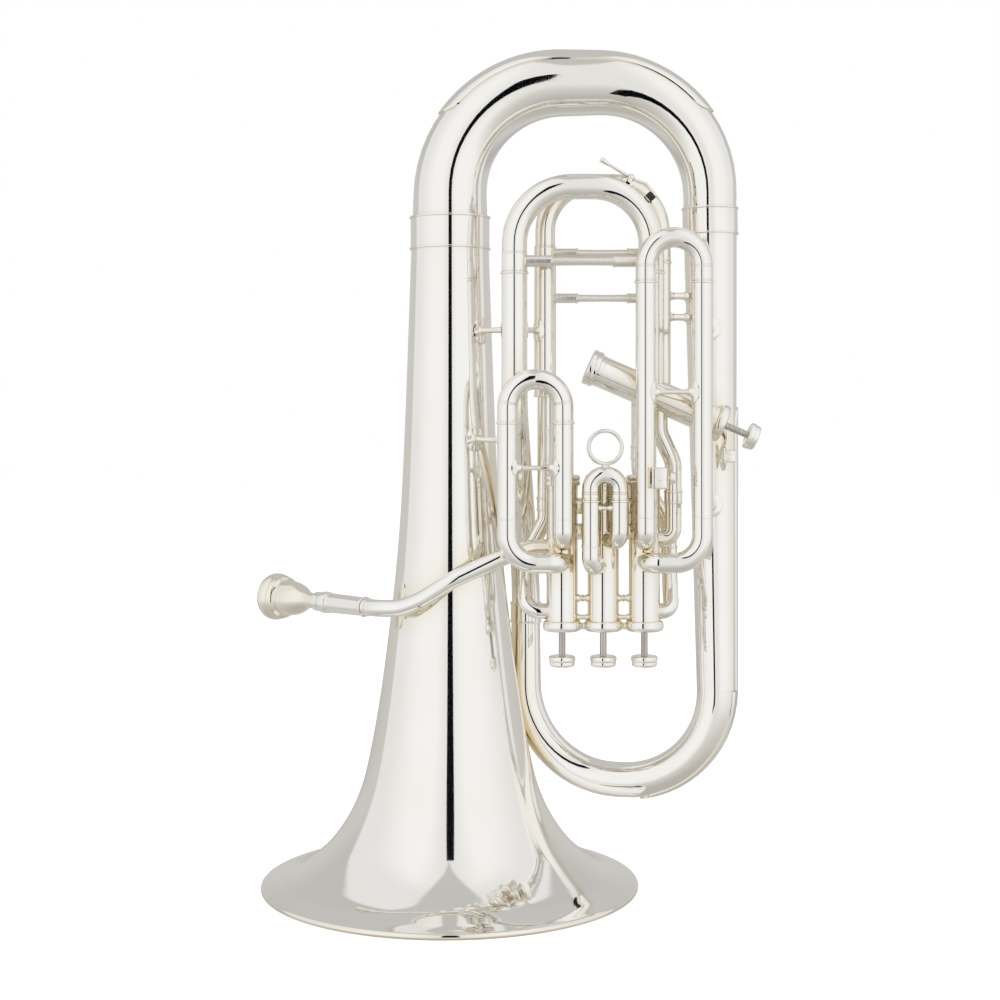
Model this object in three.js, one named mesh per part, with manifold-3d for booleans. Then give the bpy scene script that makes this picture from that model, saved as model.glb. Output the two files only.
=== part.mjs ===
// A four-valve compensating euphonium, standing upside down on its bell. Millimetres, +Z up.
// The bell's axis is the working Z axis; the last lines move the origin to the bottom centre.
import * as THREE from "three";
import { mergeVertices } from "three/addons/utils/BufferGeometryUtils.js";
import Module from "manifold-3d";

const wasm = await Module();
wasm.setup();

// ---------- general sizes ----------
const GAP = 0.35; // left between separate pieces that meet
const SOCKET_GAP = 0.6; // round a large tube inside its ferrule
const SOCKET_SPARE = 1; // left beyond the end of a tube in its socket
const WALL = 1; // sheet and tube wall
const TUBE_SIDES = 10;
const BOW_SIDES = 16;
const BELL_SIDES = 28;
const BEND_STEP = Math.PI / 6;
const BOW_STEP = Math.PI / 8;
const BOW_BEND = 50; // bends at least this wide take the finer step
const TINY = 1e-4;
const UPRIGHT = 0.9; // a direction whose Z is above this counts as upright

// ---------- bell ----------
const RIM_RADIUS = 152.5;
const RIM_BEAD = 4.8;
const BELL_TOP = 528.6;
const BELL_STEPS = 11;
const BELL_SAMPLES = 120; // for reading the bell's radius at a height
const RIM_INSIDE = 4.8; // how far the rim's inner edge is from its outer one
const BELL_OUTLINE = [
  // height, radius
  [4.8, 149.8],
  [8, 137],
  [16, 120],
  [36, 96.5],
  [68, 76.5],
  [109, 64.6],
  [190, 51.6],
  [312, 39.5],
  [BELL_TOP, 31],
];
const BELL_FERRULE = { from: 515.6, to: 542.4, radius: 33.3, bead: 34.4 };

// ---------- large bow, right branch, lower bow, left branch ----------
const BRANCH = { x: 210, y: -10, footX: 215.3, foot: 160, radius: 21.2, footRadius: 15.8 };
const TOP_BOW = { top: 649.7, bend: 90, bellRadius: 30.6, foot: 537.6 };
const BRANCH_FERRULE = { from: 526.8, to: 548.6, radius: 22.8, bead: 23.6 };
const LOWER_BOW = { bottom: 83, bend: 76, leftRadius: 11.8 };
const LEFT_FERRULE = { from: 209.4, to: 226, radius: 13.2, bead: 14 };
const LEFT_BRANCH = { x: 62, y: 32, joint: 217.5, bendFoot: 241.6, bendTop: 384, bend: 60 };
// Guard strips: half angles are in radians, starts and ends are distances along their route.
const GUARD = {
  lift: 1.5, steps: 6, wide: 0.8, narrow: 0.55,
  topStart: 84, topEnd: 78, branchStart: 161, lowerEnd: 110,
};

// ---------- valves ----------
const CASING = { radius: 12.3, bore: 10.95, end: 3.4 };
const CAP = { radius: 15.2, bottomRadius: 14.3, height: 8.4, edge: 1.2, wall: 3, hole: 3.1, vent: 1.5 };
const PISTON = { radius: 10.5, length: 82, stem: 2.7, stemLength: 19 };
const BUTTON = { radius: 10.6, height: 9.4, chamfer: 1.6 };
const SPRING = { radius: 8, wire: 0.8, turns: 4, sides: 4, stepsPerTurn: 7 };
const VALVE_SIDES = 12;
const VALVE_ROW = { x: 89.5, pitch: 32.4, y: -44, foot: 211.5, length: 123 };
const SIDE_VALVE = { x: 109.9, y: -45, z: 420.3, tilt: 23.4, length: 117 };

// ---------- tuning slides: leg positions, plane, crook, sleeve ----------
const MAIN_SLIDE = {
  left: 52, right: 159.5, y: -45, top: 561.5, bend: 45, seam: 510, collar: 494.3,
  insert: 62, crook: 9.9, ferrule: 10.1, leg: 8.7, rim: 11.2,
};
const FOURTH_SLIDE = {
  left: 76.8, right: 168.5, y: -22, top: 566.5, bend: 38, seam: 516.7, collar: 504.3,
  insert: 58, crook: 7.9, ferrule: 8.7, leg: 7.3, rim: 9.5,
};
const SLIDE_PLANE = -68;
const FIRST_SLIDE = {
  left: 46.4, right: 89.5, y: SLIDE_PLANE, top: 409.4, bend: 21.5, seam: 391.9, collar: 376.4,
  insert: 52, crook: 7.9, ferrule: 8, leg: 6.7, rim: 9,
};
const SECOND_SLIDE = {
  left: 110.9, right: 133.3, y: SLIDE_PLANE, top: 335.3, bend: 11.1, seam: 322, collar: 316,
  insert: 20, crook: 6.8, ferrule: 7, leg: 5.7, rim: 8,
};
const THIRD_SLIDE = {
  left: 153.6, right: 197.4, y: SLIDE_PLANE, top: 519.4, bend: 21.8, seam: 498, collar: 485.6,
  insert: 60, crook: 7.9, ferrule: 8, leg: 6.7, rim: 9,
};
const COLLAR_HEIGHT = 2;
const SLEEVE_SPARE = 4; // how much deeper a sleeve's bore is than its slide's leg
const MAIN_SLEEVE_FOOT = 417.2;
const INNER_PORT = 284; // height where a slide's inner sleeve meets its valve
const OUTER_PORT = 267;
const SECOND_OUTER_PORT = 264;
const KNUCKLE_BEND = 8.6;
const OUTER_BEND = 22;

const FOURTH_PORT = { z: 395, bend: 9 };
const FOURTH_RETURN = { top: 400, radius: 6.2, port: 227.2 };
const PULL_RING = { radius: 12.8, wire: 1.5 };

// ---------- water key: distances from the centre of the slide's bend, angles in degrees ----------
const WATER_KEY = {
  pivotAngle: 60.8, corkAngle: 39.9, pivot: 59.45, pin: 0.9, barrel: 2.1,
  ear: 2.2, earGap: 3.5, earWall: 1, plate: 1.2, reach: 25, arm: 1.3, ball: 2.6,
  nippleFoot: 52.8, nippleTop: 55.4, nippleRadius: 2.8, cork: 3.4, corkTop: 60.2, cupWall: 1.6,
};

// ---------- braces: heights, or height lists ----------
const BRACE = { radius: 2.4, flange: 8, flangeHeight: 1.2 };
const MAIN_BAR = { z: 502.9, radius: 3.6, endRadius: 4.6, ends: 29.7 };
const FOURTH_BAR = { z: 511, lowerZ: 475, radius: 2.9, endRadius: 3.8, ends: 26 };
const LEG_BAR = { radius: 2.2, flange: 5.5, disc: 1.6 };
const BRACE_BITE = 0.5; // how far outside a slide's leg a brace starts, in its sleeve's wall
const BELL_CLEARANCE = 1.3; // the bell widens towards a flange's lower edge
const KNUCKLE_OFFSET = 3.5; // how far before its valve's axis an outer leg turns
const BRACES = {
  bell: 449, slides: 449, fourthBranch: [477, 460], firstBell: 362.4, firstLegs: 340.8,
  secondLegs: 309.7, thirdLegs: 399.6, thirdBranch: [450, 309.6],
};
const LEAD_BRACE = { x: -55.5, y: -40.9, z: 230, radius: 3 };
const LEAD_PLATE = { radius: 50, wall: 1.5, width: 8, height: 36 };

// ---------- tubes between and behind the valves ----------
const VALVE_LINKS = [
  // height above the valve's foot, radius
  [26, 2.2],
  [78.5, 6.5],
  [98.5, 6.5],
];
const LINK_TUBE = 6.6;
const LINK_PATH = [
  // from the third valve's port up to the fourth valve's casing: x, y, z, bend radius
  [177, -44, INNER_PORT, 9],
  [177, -44, 345, 20],
  [166, -45, 368, 20],
  [166, -45, 379],
];
const FOURTH_RETURN_PATH = [
  // from the fourth slide's left leg down to the first valve
  [76.8, -22, 298, 14],
  [60.6, -26, 268, 14],
  [60.6, -44, 227.2, 12],
];
const THIRD_RETURN_PATH = [
  // from the third valve's lower port up behind the slides to the fourth valve
  [175.6, -44, 227.2, 8],
  [175.6, -24, 262, 20],
  [175.6, -24, 292, 20],
  [152, -20, 335, 25],
  [152, -20, 397, 10],
];
const LOOP_TUBE = 5;
const LOOP_BEND = 12;
const LOOPS = [
  { high: 300, low: 262, back: 8 },
  { high: 296, low: 268, back: -2 },
  { high: 272, low: 240, back: 8 },
];

// ---------- small fittings ----------
const LYRE_BOX = { low: [157, -85, 325], high: [168.5, -76.5, 341.5] };
const LYRE_TAB = { low: [162.2, -77, 327], high: [164.7, -68, 339.5] };
const LYRE_SCREW = { x: 168.9, y: -80.7, z: 333.5, stem: 2, neck: 1.6, knob: 4.8, length: 6.6 };
const THUMB_RING = { x: 216.5, y: -43, z: 348, radius: 9, wire: 1.6 };
const RING_BLOCK = { low: [214.2, -36, 344], high: [227.5, -28.9, 354] };

// ---------- mouthpiece and leadpipe ----------
const LEADPIPE = { port: 277, radius: 6.8, endRadius: 6.2, runIn: 14, lastBend: 30 };
const LEADPIPE_PATH = [
  // from the first valve forward round the bell: x, y, z, bend radius
  [66, -44, 277, 20],
  [44.5, -51, 271, 40],
  [3.9, -54.5, 253, 40],
  [-21.4, -51.5, 236.5, 40],
  [-38, -46.5, 229.5, 40],
];
const RECEIVER = {
  x: -66, y: -31, z: 229, length: 60, radius: 7.6, mouthRadius: 9, bore: 6.9, collar: 8.8, collarHeight: 7,
};
const MOUTH_AXIS = new THREE.Vector3(-0.72, 0.694, 0).normalize();
const MOUTHPIECE = { inserted: 24, length: 80 };
const MOUTHPIECE_OUTSIDE = [
  // distance from the shank's end, radius
  [0, 5.6],
  [32, 6.4],
  [39, 8],
  [46, 12],
  [56, 15.6],
  [68, 17],
  [73, 17.2],
  [75, 19.3],
  [78, 19.3],
  [80, 17.4],
];
const MOUTHPIECE_BORE = [
  [0, 4.4],
  [40, 3.2],
  [48, 6.4],
  [60, 10.8],
  [74, 12.7],
  [80, 14.4],
];

// ---------- finishes ----------
const SILVER = { color: 0xe8e6e0, roughness: 0.1, metalness: 1 };
const STEEL = { color: 0x9a948c, roughness: 0.3, metalness: 1 };
const PEARL = { color: 0xe9e3d6, roughness: 0.35, metalness: 0.1 };
const CORK = { color: 0x1c1916, roughness: 0.9, metalness: 0 };

// ---------- geometry helpers ----------
const vec = (x, y, z) => new THREE.Vector3(x, y, z);

// A route is straight runs joined by round bends. Corners are [x, y, z, bend radius].
class Route {
  constructor(corners) {
    this.stations = [];
    const points = corners.map(([x, y, z]) => vec(x, y, z));
    let heading = points[1].clone().sub(points[0]).normalize();
    const reference = Math.abs(heading.z) > UPRIGHT ? vec(0, 1, 0) : vec(0, 0, 1);
    const normal = reference.addScaledVector(heading, -reference.dot(heading)).normalize();
    this.add(points[0], heading, normal);
    for (let i = 1; i < points.length - 1; i++) {
      const next = points[i + 1].clone().sub(points[i]).normalize();
      const axis = heading.clone().cross(next).normalize();
      const turn = heading.angleTo(next);
      const radius = corners[i][3];
      const start = points[i].clone().addScaledVector(heading, -radius * Math.tan(turn / 2));
      const centre = start.clone().addScaledVector(axis.clone().cross(heading), radius);
      const steps = Math.max(1, Math.round(turn / (radius < BOW_BEND ? BEND_STEP : BOW_STEP)));
      for (let k = 0; k <= steps; k++) {
        const angle = (turn * k) / steps;
        const arm = start.clone().sub(centre).applyAxisAngle(axis, angle);
        const along = heading.clone().applyAxisAngle(axis, angle);
        this.add(arm.add(centre), along, normal.clone().applyAxisAngle(axis, angle));
      }
      normal.applyAxisAngle(axis, turn);
      heading = next;
    }
    this.add(points.at(-1), heading, normal);
    this.length = this.stations.at(-1).s;
  }

  add(point, heading, normal) {
    const last = this.stations.at(-1);
    const step = last ? last.point.distanceTo(point) : 0;
    if (last && step < TINY) return;
    const s = last ? last.s + step : 0;
    this.stations.push({ s, point: point.clone(), heading: heading.clone(), normal: normal.clone() });
  }

  at(s) {
    const found = this.stations.findIndex((station) => station.s >= s - TINY);
    const index = found < 1 ? 1 : found;
    const a = this.stations[index - 1];
    const b = this.stations[index];
    const share = (s - a.s) / (b.s - a.s);
    const heading = a.heading.clone().lerp(b.heading, share).normalize();
    const normal = a.normal.clone().lerp(b.normal, share).normalize();
    return {
      point: a.point.clone().lerp(b.point, share),
      normal,
      side: normal.clone().cross(heading).normalize(),
    };
  }
}

const straight = (from, to) => new Route([from, to]);

// Moves each vertex of a geometry built along +Y (its y is the distance) onto a route.
function layAlong(geometry, route) {
  const position = geometry.getAttribute("position");
  for (let i = 0; i < position.count; i++) {
    const place = route.at(position.getY(i));
    const point = place.point.addScaledVector(place.normal, position.getX(i));
    point.addScaledVector(place.side, position.getZ(i));
    position.setXYZ(i, point.x, point.y, point.z);
  }
  return geometry;
}

// A turned profile laid along a route. The loop holds [distance, radius], outer wall first.
function turned(route, loop, sides = TUBE_SIDES) {
  const profile = [new THREE.Vector2(loop[0][1], loop[0][0])];
  for (let i = 1; i < loop.length; i++) {
    const [from, fromRadius] = loop[i - 1];
    const [to, toRadius] = loop[i];
    if (Math.abs(to - from) + Math.abs(toRadius - fromRadius) < TINY) continue;
    const between = route.stations.map((station) => station.s);
    const inside = between.filter((s) => s > Math.min(from, to) + TINY && s < Math.max(from, to) - TINY);
    if (to < from) inside.reverse();
    for (const s of inside) {
      const radius = fromRadius + ((toRadius - fromRadius) * (s - from)) / (to - from);
      profile.push(new THREE.Vector2(radius, s));
    }
    profile.push(new THREE.Vector2(toRadius, to));
  }
  return layAlong(new THREE.LatheGeometry(profile, sides), route);
}

// A hollow profile: outer and bore are lists of [distance, radius] in rising distance.
function hollow(route, outer, bore, sides) {
  return turned(route, [...outer, ...bore.toReversed(), outer[0]], sides);
}

function tube(route, radius, endRadius = radius, sides = TUBE_SIDES) {
  const length = route.length;
  return hollow(
    route,
    [[0, radius], [length, endRadius]],
    [[0, radius - WALL], [length, endRadius - WALL]],
    sides,
  );
}

function rod(from, to, radius, sides = TUBE_SIDES) {
  const route = straight(from, to);
  return turned(route, [[0, 0], [0, radius], [route.length, radius], [route.length, 0]], sides);
}

function box(from, to) {
  const size = to.map((high, i) => high - from[i]);
  return new THREE.BoxGeometry(...size).translate(...from.map((low, i) => low + size[i] / 2));
}

function solid(geometry) {
  geometry.deleteAttribute("normal");
  geometry.deleteAttribute("uv");
  const merged = mergeVertices(geometry, TINY);
  const index = [...merged.index.array];
  const kept = [];
  for (let i = 0; i < index.length; i += 3) {
    const [a, b, c] = index.slice(i, i + 3);
    if (a !== b && b !== c && c !== a) kept.push(a, b, c);
  }
  return new wasm.Manifold(
    new wasm.Mesh({
      numProp: 3,
      vertProperties: merged.getAttribute("position").array,
      triVerts: new Uint32Array(kept),
    }),
  );
}

const join = (...pieces) => pieces.map(solid).reduce((all, next) => all.add(next));

const group = new THREE.Group();

function add(name, finish, made, parent = group) {
  const shape = made.isBufferGeometry ? solid(made) : made;
  const { numProp, vertProperties, triVerts } = shape.getMesh();
  const geometry = new THREE.BufferGeometry();
  geometry.setAttribute("position", new THREE.BufferAttribute(vertProperties, numProp));
  geometry.setIndex(new THREE.BufferAttribute(triVerts, 1));
  const mesh = new THREE.Mesh(geometry, new THREE.MeshStandardMaterial(finish));
  mesh.name = name;
  parent.add(mesh);
}

// Raised band on a profile.
const band = (from, to, radius, base) => [[from, base], [from, radius], [to, radius], [to, base]];

// ---------- bell ----------
const bellCurve = new THREE.SplineCurve(BELL_OUTLINE.map(([z, r]) => new THREE.Vector2(z, r)));

// The bell's outer radius at a height.
function bellRadius(z) {
  return bellCurve.getPoints(BELL_SAMPLES).find((point) => point.x >= z).y;
}

function bellShell() {
  const outer = [];
  const inner = [];
  for (let i = 0; i <= BELL_STEPS; i++) {
    const point = bellCurve.getPoint(i / BELL_STEPS);
    const along = bellCurve.getTangent(i / BELL_STEPS);
    outer.push([point.x, point.y]);
    inner.push([point.x + along.y * WALL, point.y - along.x * WALL]);
  }
  inner[BELL_STEPS][0] = BELL_TOP;
  const edge = RIM_BEAD / 4;
  const rim = [
    [0, RIM_RADIUS - 3 * edge],
    [0, RIM_RADIUS - edge],
    [edge, RIM_RADIUS],
    [3 * edge, RIM_RADIUS],
    [RIM_BEAD, RIM_RADIUS - edge],
  ];
  const route = straight([0, 0, 0], [0, 0, BELL_TOP]);
  return hollow(route, [...rim, ...outer], [[edge, RIM_RADIUS - RIM_INSIDE], ...inner], BELL_SIDES);
}

function bellFerrule() {
  const { from, to, radius, bead } = BELL_FERRULE;
  const length = to - from;
  return hollow(
    straight([0, 0, from], [0, 0, to]),
    [
      [0, bead],
      [COLLAR_HEIGHT, bead],
      [COLLAR_HEIGHT, radius],
      [length - COLLAR_HEIGHT, radius],
      [length - COLLAR_HEIGHT, bead],
      [length, bead],
    ],
    [[0, radius - WALL], [length, radius - WALL]],
    BOW_SIDES,
  );
}

// ---------- bows and branches ----------
const topBowRoute = new Route([
  [0, 0, BELL_TOP + GAP],
  [0, 0, TOP_BOW.top, TOP_BOW.bend],
  [BRANCH.x, BRANCH.y, TOP_BOW.top, TOP_BOW.bend],
  [BRANCH.x, BRANCH.y, TOP_BOW.foot],
]);
const branchRoute = straight([BRANCH.x, BRANCH.y, BRANCH_FERRULE.to], [BRANCH.footX, BRANCH.y, BRANCH.foot]);
const lowerBowRoute = new Route([
  [BRANCH.footX, BRANCH.y, BRANCH.foot - GAP],
  [BRANCH.footX, BRANCH.y, LOWER_BOW.bottom, LOWER_BOW.bend],
  [LEFT_BRANCH.x, LEFT_BRANCH.y, LOWER_BOW.bottom, LOWER_BOW.bend],
  [LEFT_BRANCH.x, LEFT_BRANCH.y, LEFT_FERRULE.to],
]);

// The large bow ends in a straight spigot that fits the right branch's ferrule.
function topBow() {
  const spigot = topBowRoute.length - (BRANCH_FERRULE.to - TOP_BOW.foot) - SLEEVE_SPARE;
  const profile = (wall) => [
    [0, TOP_BOW.bellRadius - wall],
    [spigot, BRANCH.radius - wall],
    [topBowRoute.length, BRANCH.radius - wall],
  ];
  return hollow(topBowRoute, profile(0), profile(WALL), BOW_SIDES);
}

// The right branch, with its ferrule as a wider socket round the end of the large bow.
function rightBranch() {
  const { to, from, radius, bead } = BRANCH_FERRULE;
  const socket = to - TOP_BOW.foot + SOCKET_SPARE;
  const ferrule = to - from;
  const length = branchRoute.length;
  return hollow(
    branchRoute,
    [
      [0, bead],
      [COLLAR_HEIGHT, bead],
      [COLLAR_HEIGHT, radius],
      ...band(ferrule - COLLAR_HEIGHT, ferrule, bead, radius).slice(0, 3),
      [ferrule, BRANCH.radius],
      [length, BRANCH.footRadius],
    ],
    [
      [0, BRANCH.radius + SOCKET_GAP],
      [socket, BRANCH.radius + SOCKET_GAP],
      [socket, BRANCH.radius - WALL],
      [length, BRANCH.footRadius - WALL],
    ],
    BOW_SIDES,
  );
}

// The lower bow, with the left ferrule as a wider socket round the left branch's foot.
function lowerBow() {
  const { from, to, radius, bead } = LEFT_FERRULE;
  const length = lowerBowRoute.length;
  const ferrule = length - (to - from);
  const socket = length - (to - LEFT_BRANCH.joint) - SOCKET_SPARE;
  return hollow(
    lowerBowRoute,
    [
      [0, BRANCH.footRadius],
      [ferrule, LOWER_BOW.leftRadius],
      ...band(ferrule, ferrule + COLLAR_HEIGHT, bead, radius).slice(1),
      [length - COLLAR_HEIGHT, radius],
      [length - COLLAR_HEIGHT, bead],
      [length, bead],
    ],
    [
      [0, BRANCH.footRadius - WALL],
      [socket, LOWER_BOW.leftRadius - WALL],
      [socket, LOWER_BOW.leftRadius + SOCKET_GAP],
      [length, LOWER_BOW.leftRadius + SOCKET_GAP],
    ],
    BOW_SIDES,
  );
}

// A guard strip: an arc of sheet on the outer side of a tapering tube, between two distances.
function guardStrip(route, radii, from, to, cover) {
  const inside = route.stations.map((station) => station.s).filter((s) => s > from + 1 && s < to - 1);
  const marks = [from, ...inside, to];
  const facing = Math.PI / 2;
  const section = new THREE.Shape();
  section.absarc(0, 0, 2, facing - cover, facing + cover, false);
  section.absarc(0, 0, 1, facing + cover, facing - cover, true);
  const layers = marks.length - 1;
  const geometry = new THREE.ExtrudeGeometry(section, {
    steps: layers,
    depth: layers,
    bevelEnabled: false,
    curveSegments: GUARD.steps,
  });
  const position = geometry.getAttribute("position");
  for (let i = 0; i < position.count; i++) {
    const s = marks[Math.round(position.getZ(i))];
    const place = route.at(s);
    const flat = Math.hypot(position.getX(i), position.getY(i));
    const tubeRadius = THREE.MathUtils.lerp(...radii, s / route.length);
    const scale = (tubeRadius + 2 * GAP + (flat - 1) * GUARD.lift) / flat;
    const point = place.point.addScaledVector(place.normal, position.getX(i) * scale);
    point.addScaledVector(place.side, -position.getY(i) * scale);
    position.setXYZ(i, point.x, point.y, point.z);
  }
  return geometry;
}

// The left branch leans back from the tuning slide's plane to the lower bow's end.
const leftBranchRoute = new Route([
  [MAIN_SLIDE.left, MAIN_SLIDE.y, MAIN_SLIDE.collar],
  [MAIN_SLIDE.left, MAIN_SLIDE.y, LEFT_BRANCH.bendTop, LEFT_BRANCH.bend],
  [LEFT_BRANCH.x, LEFT_BRANCH.y, LEFT_BRANCH.bendFoot, LEFT_BRANCH.bend],
  [LEFT_BRANCH.x, LEFT_BRANCH.y, LEFT_BRANCH.joint],
]);

function leftBranch() {
  const { rim, ferrule, leg, insert } = MAIN_SLIDE;
  const length = leftBranchRoute.length;
  const straightPart = insert + SLEEVE_SPARE;
  return hollow(
    leftBranchRoute,
    [
      [0, rim],
      [COLLAR_HEIGHT, rim],
      [COLLAR_HEIGHT, ferrule],
      [straightPart, ferrule],
      [length, LOWER_BOW.leftRadius],
    ],
    [
      [0, leg + GAP],
      [straightPart, leg + GAP],
      [length, LOWER_BOW.leftRadius - WALL],
    ],
  );
}

// ---------- slides ----------
// A slide is one bent tube: inner leg, ferrule, crook, ferrule, inner leg.
function slideBow({ left, right, y, top, bend, seam, collar, insert, crook, ferrule, leg }) {
  const foot = collar + GAP - insert;
  const route = new Route([
    [left, y, foot],
    [left, y, top, bend],
    [right, y, top, bend],
    [right, y, foot],
  ]);
  const length = route.length;
  const shoulder = seam - foot;
  return hollow(
    route,
    [
      [0, leg],
      ...band(insert, shoulder, ferrule, leg).slice(0, 3),
      [shoulder, crook],
      [length - shoulder, crook],
      [length - shoulder, ferrule],
      [length - insert, ferrule],
      [length - insert, leg],
      [length, leg],
    ],
    [[0, leg - WALL], [length, leg - WALL]],
  );
}

// An outer sleeve with its collar: it starts at the collar and ends where its route ends.
function sleeve({ collar, ferrule, rim, leg }, x, y, corners) {
  const route = new Route([[x, y, collar], ...corners]);
  return hollow(
    route,
    [[0, rim], [COLLAR_HEIGHT, rim], [COLLAR_HEIGHT, ferrule], [route.length, ferrule]],
    [[0, leg + GAP], [route.length, leg + GAP]],
  );
}

// The last corner and the end of a knuckle that turns from a leg towards a valve's axis.
function knuckle(x, y, z, valveX) {
  const away = Math.hypot(valveX - x, VALVE_ROW.y - y);
  const share = (away - CASING.radius - GAP) / away;
  const end = [x + (valveX - x) * share, y + (VALVE_ROW.y - y) * share, z];
  return [[x, y, z, KNUCKLE_BEND], end];
}

// A cross rod between two legs, thicker near its ends. It starts inside the wall at the reach.
function crossbar(slide, z, reach, { radius, endRadius, ends }) {
  const route = straight([slide.left + reach, slide.y, z], [slide.right - reach, slide.y, z]);
  const length = route.length;
  const socket = ends - reach;
  return turned(route, [
    [0, 0],
    [0, endRadius],
    [socket, endRadius],
    [socket, radius],
    [length - socket, radius],
    [length - socket, endRadius],
    [length, endRadius],
    [length, 0],
  ]);
}

// A brace from inside one tube's wall to just short of another piece, with a disc at the far end.
function brace(from, to, radius = BRACE.radius, flange = BRACE.flange) {
  const route = straight(from, to);
  const length = route.length;
  const disc = length - BRACE.flangeHeight;
  return turned(route, [
    [0, 0],
    [0, radius],
    [disc, radius],
    [disc, flange],
    [length, flange],
    [length, 0],
  ]);
}

// Ends of a level brace at height z between two upright axes, kept back from each axis.
function levelSpan([x1, y1], [x2, y2], z, start, finish) {
  const span = Math.hypot(x2 - x1, y2 - y1);
  const at = (share) => [x1 + (x2 - x1) * share, y1 + (y2 - y1) * share, z];
  return [at(start / span), at(1 - finish / span)];
}

// Ends of a level brace from a slide's left leg to the bell.
function spanToBell(slide, z, start) {
  return levelSpan([slide.left, slide.y], [0, 0], z, start, bellRadius(z) + BELL_CLEARANCE);
}

// ---------- pieces ----------
add("bell", SILVER, bellShell());
add("bell_ferrule", SILVER, bellFerrule());
add("top_bow", SILVER, topBow());
add("right_branch", SILVER, rightBranch());
add("lower_bow", SILVER, lowerBow());
add("left_branch", SILVER, leftBranch());
add(
  "top_bow_guard",
  SILVER,
  guardStrip(
    topBowRoute,
    [TOP_BOW.bellRadius, BRANCH.radius],
    GUARD.topStart,
    topBowRoute.length - GUARD.topEnd,
    GUARD.wide,
  ),
);
add(
  "right_branch_guard",
  SILVER,
  guardStrip(
    branchRoute,
    [BRANCH.radius, BRANCH.footRadius],
    GUARD.branchStart,
    branchRoute.length,
    GUARD.narrow,
  ),
);
add(
  "lower_bow_guard",
  SILVER,
  guardStrip(lowerBowRoute, [BRANCH.footRadius, LOWER_BOW.leftRadius], 0, GUARD.lowerEnd, GUARD.wide),
);

// Main tuning slide, its right sleeve, and the nipple under the water key.
const shoulder = vec(MAIN_SLIDE.right - MAIN_SLIDE.bend, MAIN_SLIDE.y, MAIN_SLIDE.top - MAIN_SLIDE.bend);
const shoulderRadius = MAIN_SLIDE.bend + MAIN_SLIDE.crook;
const radial = (degrees, radius) => {
  const angle = THREE.MathUtils.degToRad(degrees);
  return [shoulder.x + radius * Math.cos(angle), shoulder.y, shoulder.z + radius * Math.sin(angle)];
};
add(
  "main_tuning_slide",
  SILVER,
  join(
    slideBow(MAIN_SLIDE),
    crossbar(MAIN_SLIDE, MAIN_BAR.z, MAIN_SLIDE.leg - WALL / 2, MAIN_BAR),
    rod(
      radial(WATER_KEY.corkAngle, WATER_KEY.nippleFoot),
      radial(WATER_KEY.corkAngle, WATER_KEY.nippleTop),
      WATER_KEY.nippleRadius,
    ),
  ),
);
add(
  "tuning_right_sleeve",
  SILVER,
  sleeve(MAIN_SLIDE, MAIN_SLIDE.right, MAIN_SLIDE.y, [[MAIN_SLIDE.right, MAIN_SLIDE.y, MAIN_SLEEVE_FOOT]]),
);

// Water key: a saddle with two ears, a lever on its pin, and a cork on the nipple.
const waterKey = new THREE.Group();
waterKey.position.copy(shoulder);
waterKey.rotation.y = THREE.MathUtils.degToRad(90 - WATER_KEY.pivotAngle);
group.add(waterKey);
const tilt = THREE.MathUtils.degToRad(WATER_KEY.pivotAngle - WATER_KEY.corkAngle);
const corkAt = (radius) => [radius * Math.sin(tilt), 0, radius * Math.cos(tilt)];
const { pivot, ear, earGap, earWall, pin, barrel, plate } = WATER_KEY;
const earOut = earGap + earWall;
const saddleBase = shoulderRadius + GAP;
add(
  "water_key_saddle",
  SILVER,
  join(
    box([-ear - earWall, -earOut, saddleBase], [ear + earWall, earOut, saddleBase + plate]),
    box([-ear, -earOut, saddleBase], [ear, -earGap, pivot + ear]),
    box([-ear, earGap, saddleBase], [ear, earOut, pivot + ear]),
    rod([0, -earGap - earWall / 2, pivot], [0, earGap + earWall / 2, pivot], pin),
  ),
  waterKey,
);
const barrelRoute = straight([0, -earGap + GAP, pivot], [0, earGap - GAP, pivot]);
const barrelLength = barrelRoute.length;
const armStart = (pin + barrel + GAP) / 2;
const tip = [-WATER_KEY.reach, 0, pivot + ear / 2];
const cupFoot = WATER_KEY.corkTop + GAP;
add(
  "water_key_lever",
  SILVER,
  join(
    hollow(
      barrelRoute,
      [[0, barrel], [barrelLength, barrel]],
      [[0, pin + GAP], [barrelLength, pin + GAP]],
    ),
    rod([-armStart, 0, pivot], tip, WATER_KEY.arm),
    new THREE.SphereGeometry(WATER_KEY.ball, TUBE_SIDES, TUBE_SIDES / 2).translate(...tip),
    rod([armStart, 0, pivot], corkAt(cupFoot + WATER_KEY.cupWall + WATER_KEY.arm), WATER_KEY.arm),
    rod(corkAt(cupFoot), corkAt(cupFoot + WATER_KEY.cupWall), WATER_KEY.cork + WALL / 2),
  ),
  waterKey,
);
add(
  "water_key_cork",
  CORK,
  rod(corkAt(WATER_KEY.nippleTop + GAP), corkAt(WATER_KEY.corkTop), WATER_KEY.cork),
  waterKey,
);

// Fourth-valve slide, its two sleeves with their crossbar and braces, and the return to valve 1.
const fourthLeft = [FOURTH_SLIDE.left, FOURTH_SLIDE.y];
const fourthRight = [FOURTH_SLIDE.right, FOURTH_SLIDE.y];

// A sleeve's brace starts inside the sleeve's wall.
const inWall = (slide) => slide.leg + BRACE_BITE;

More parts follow.
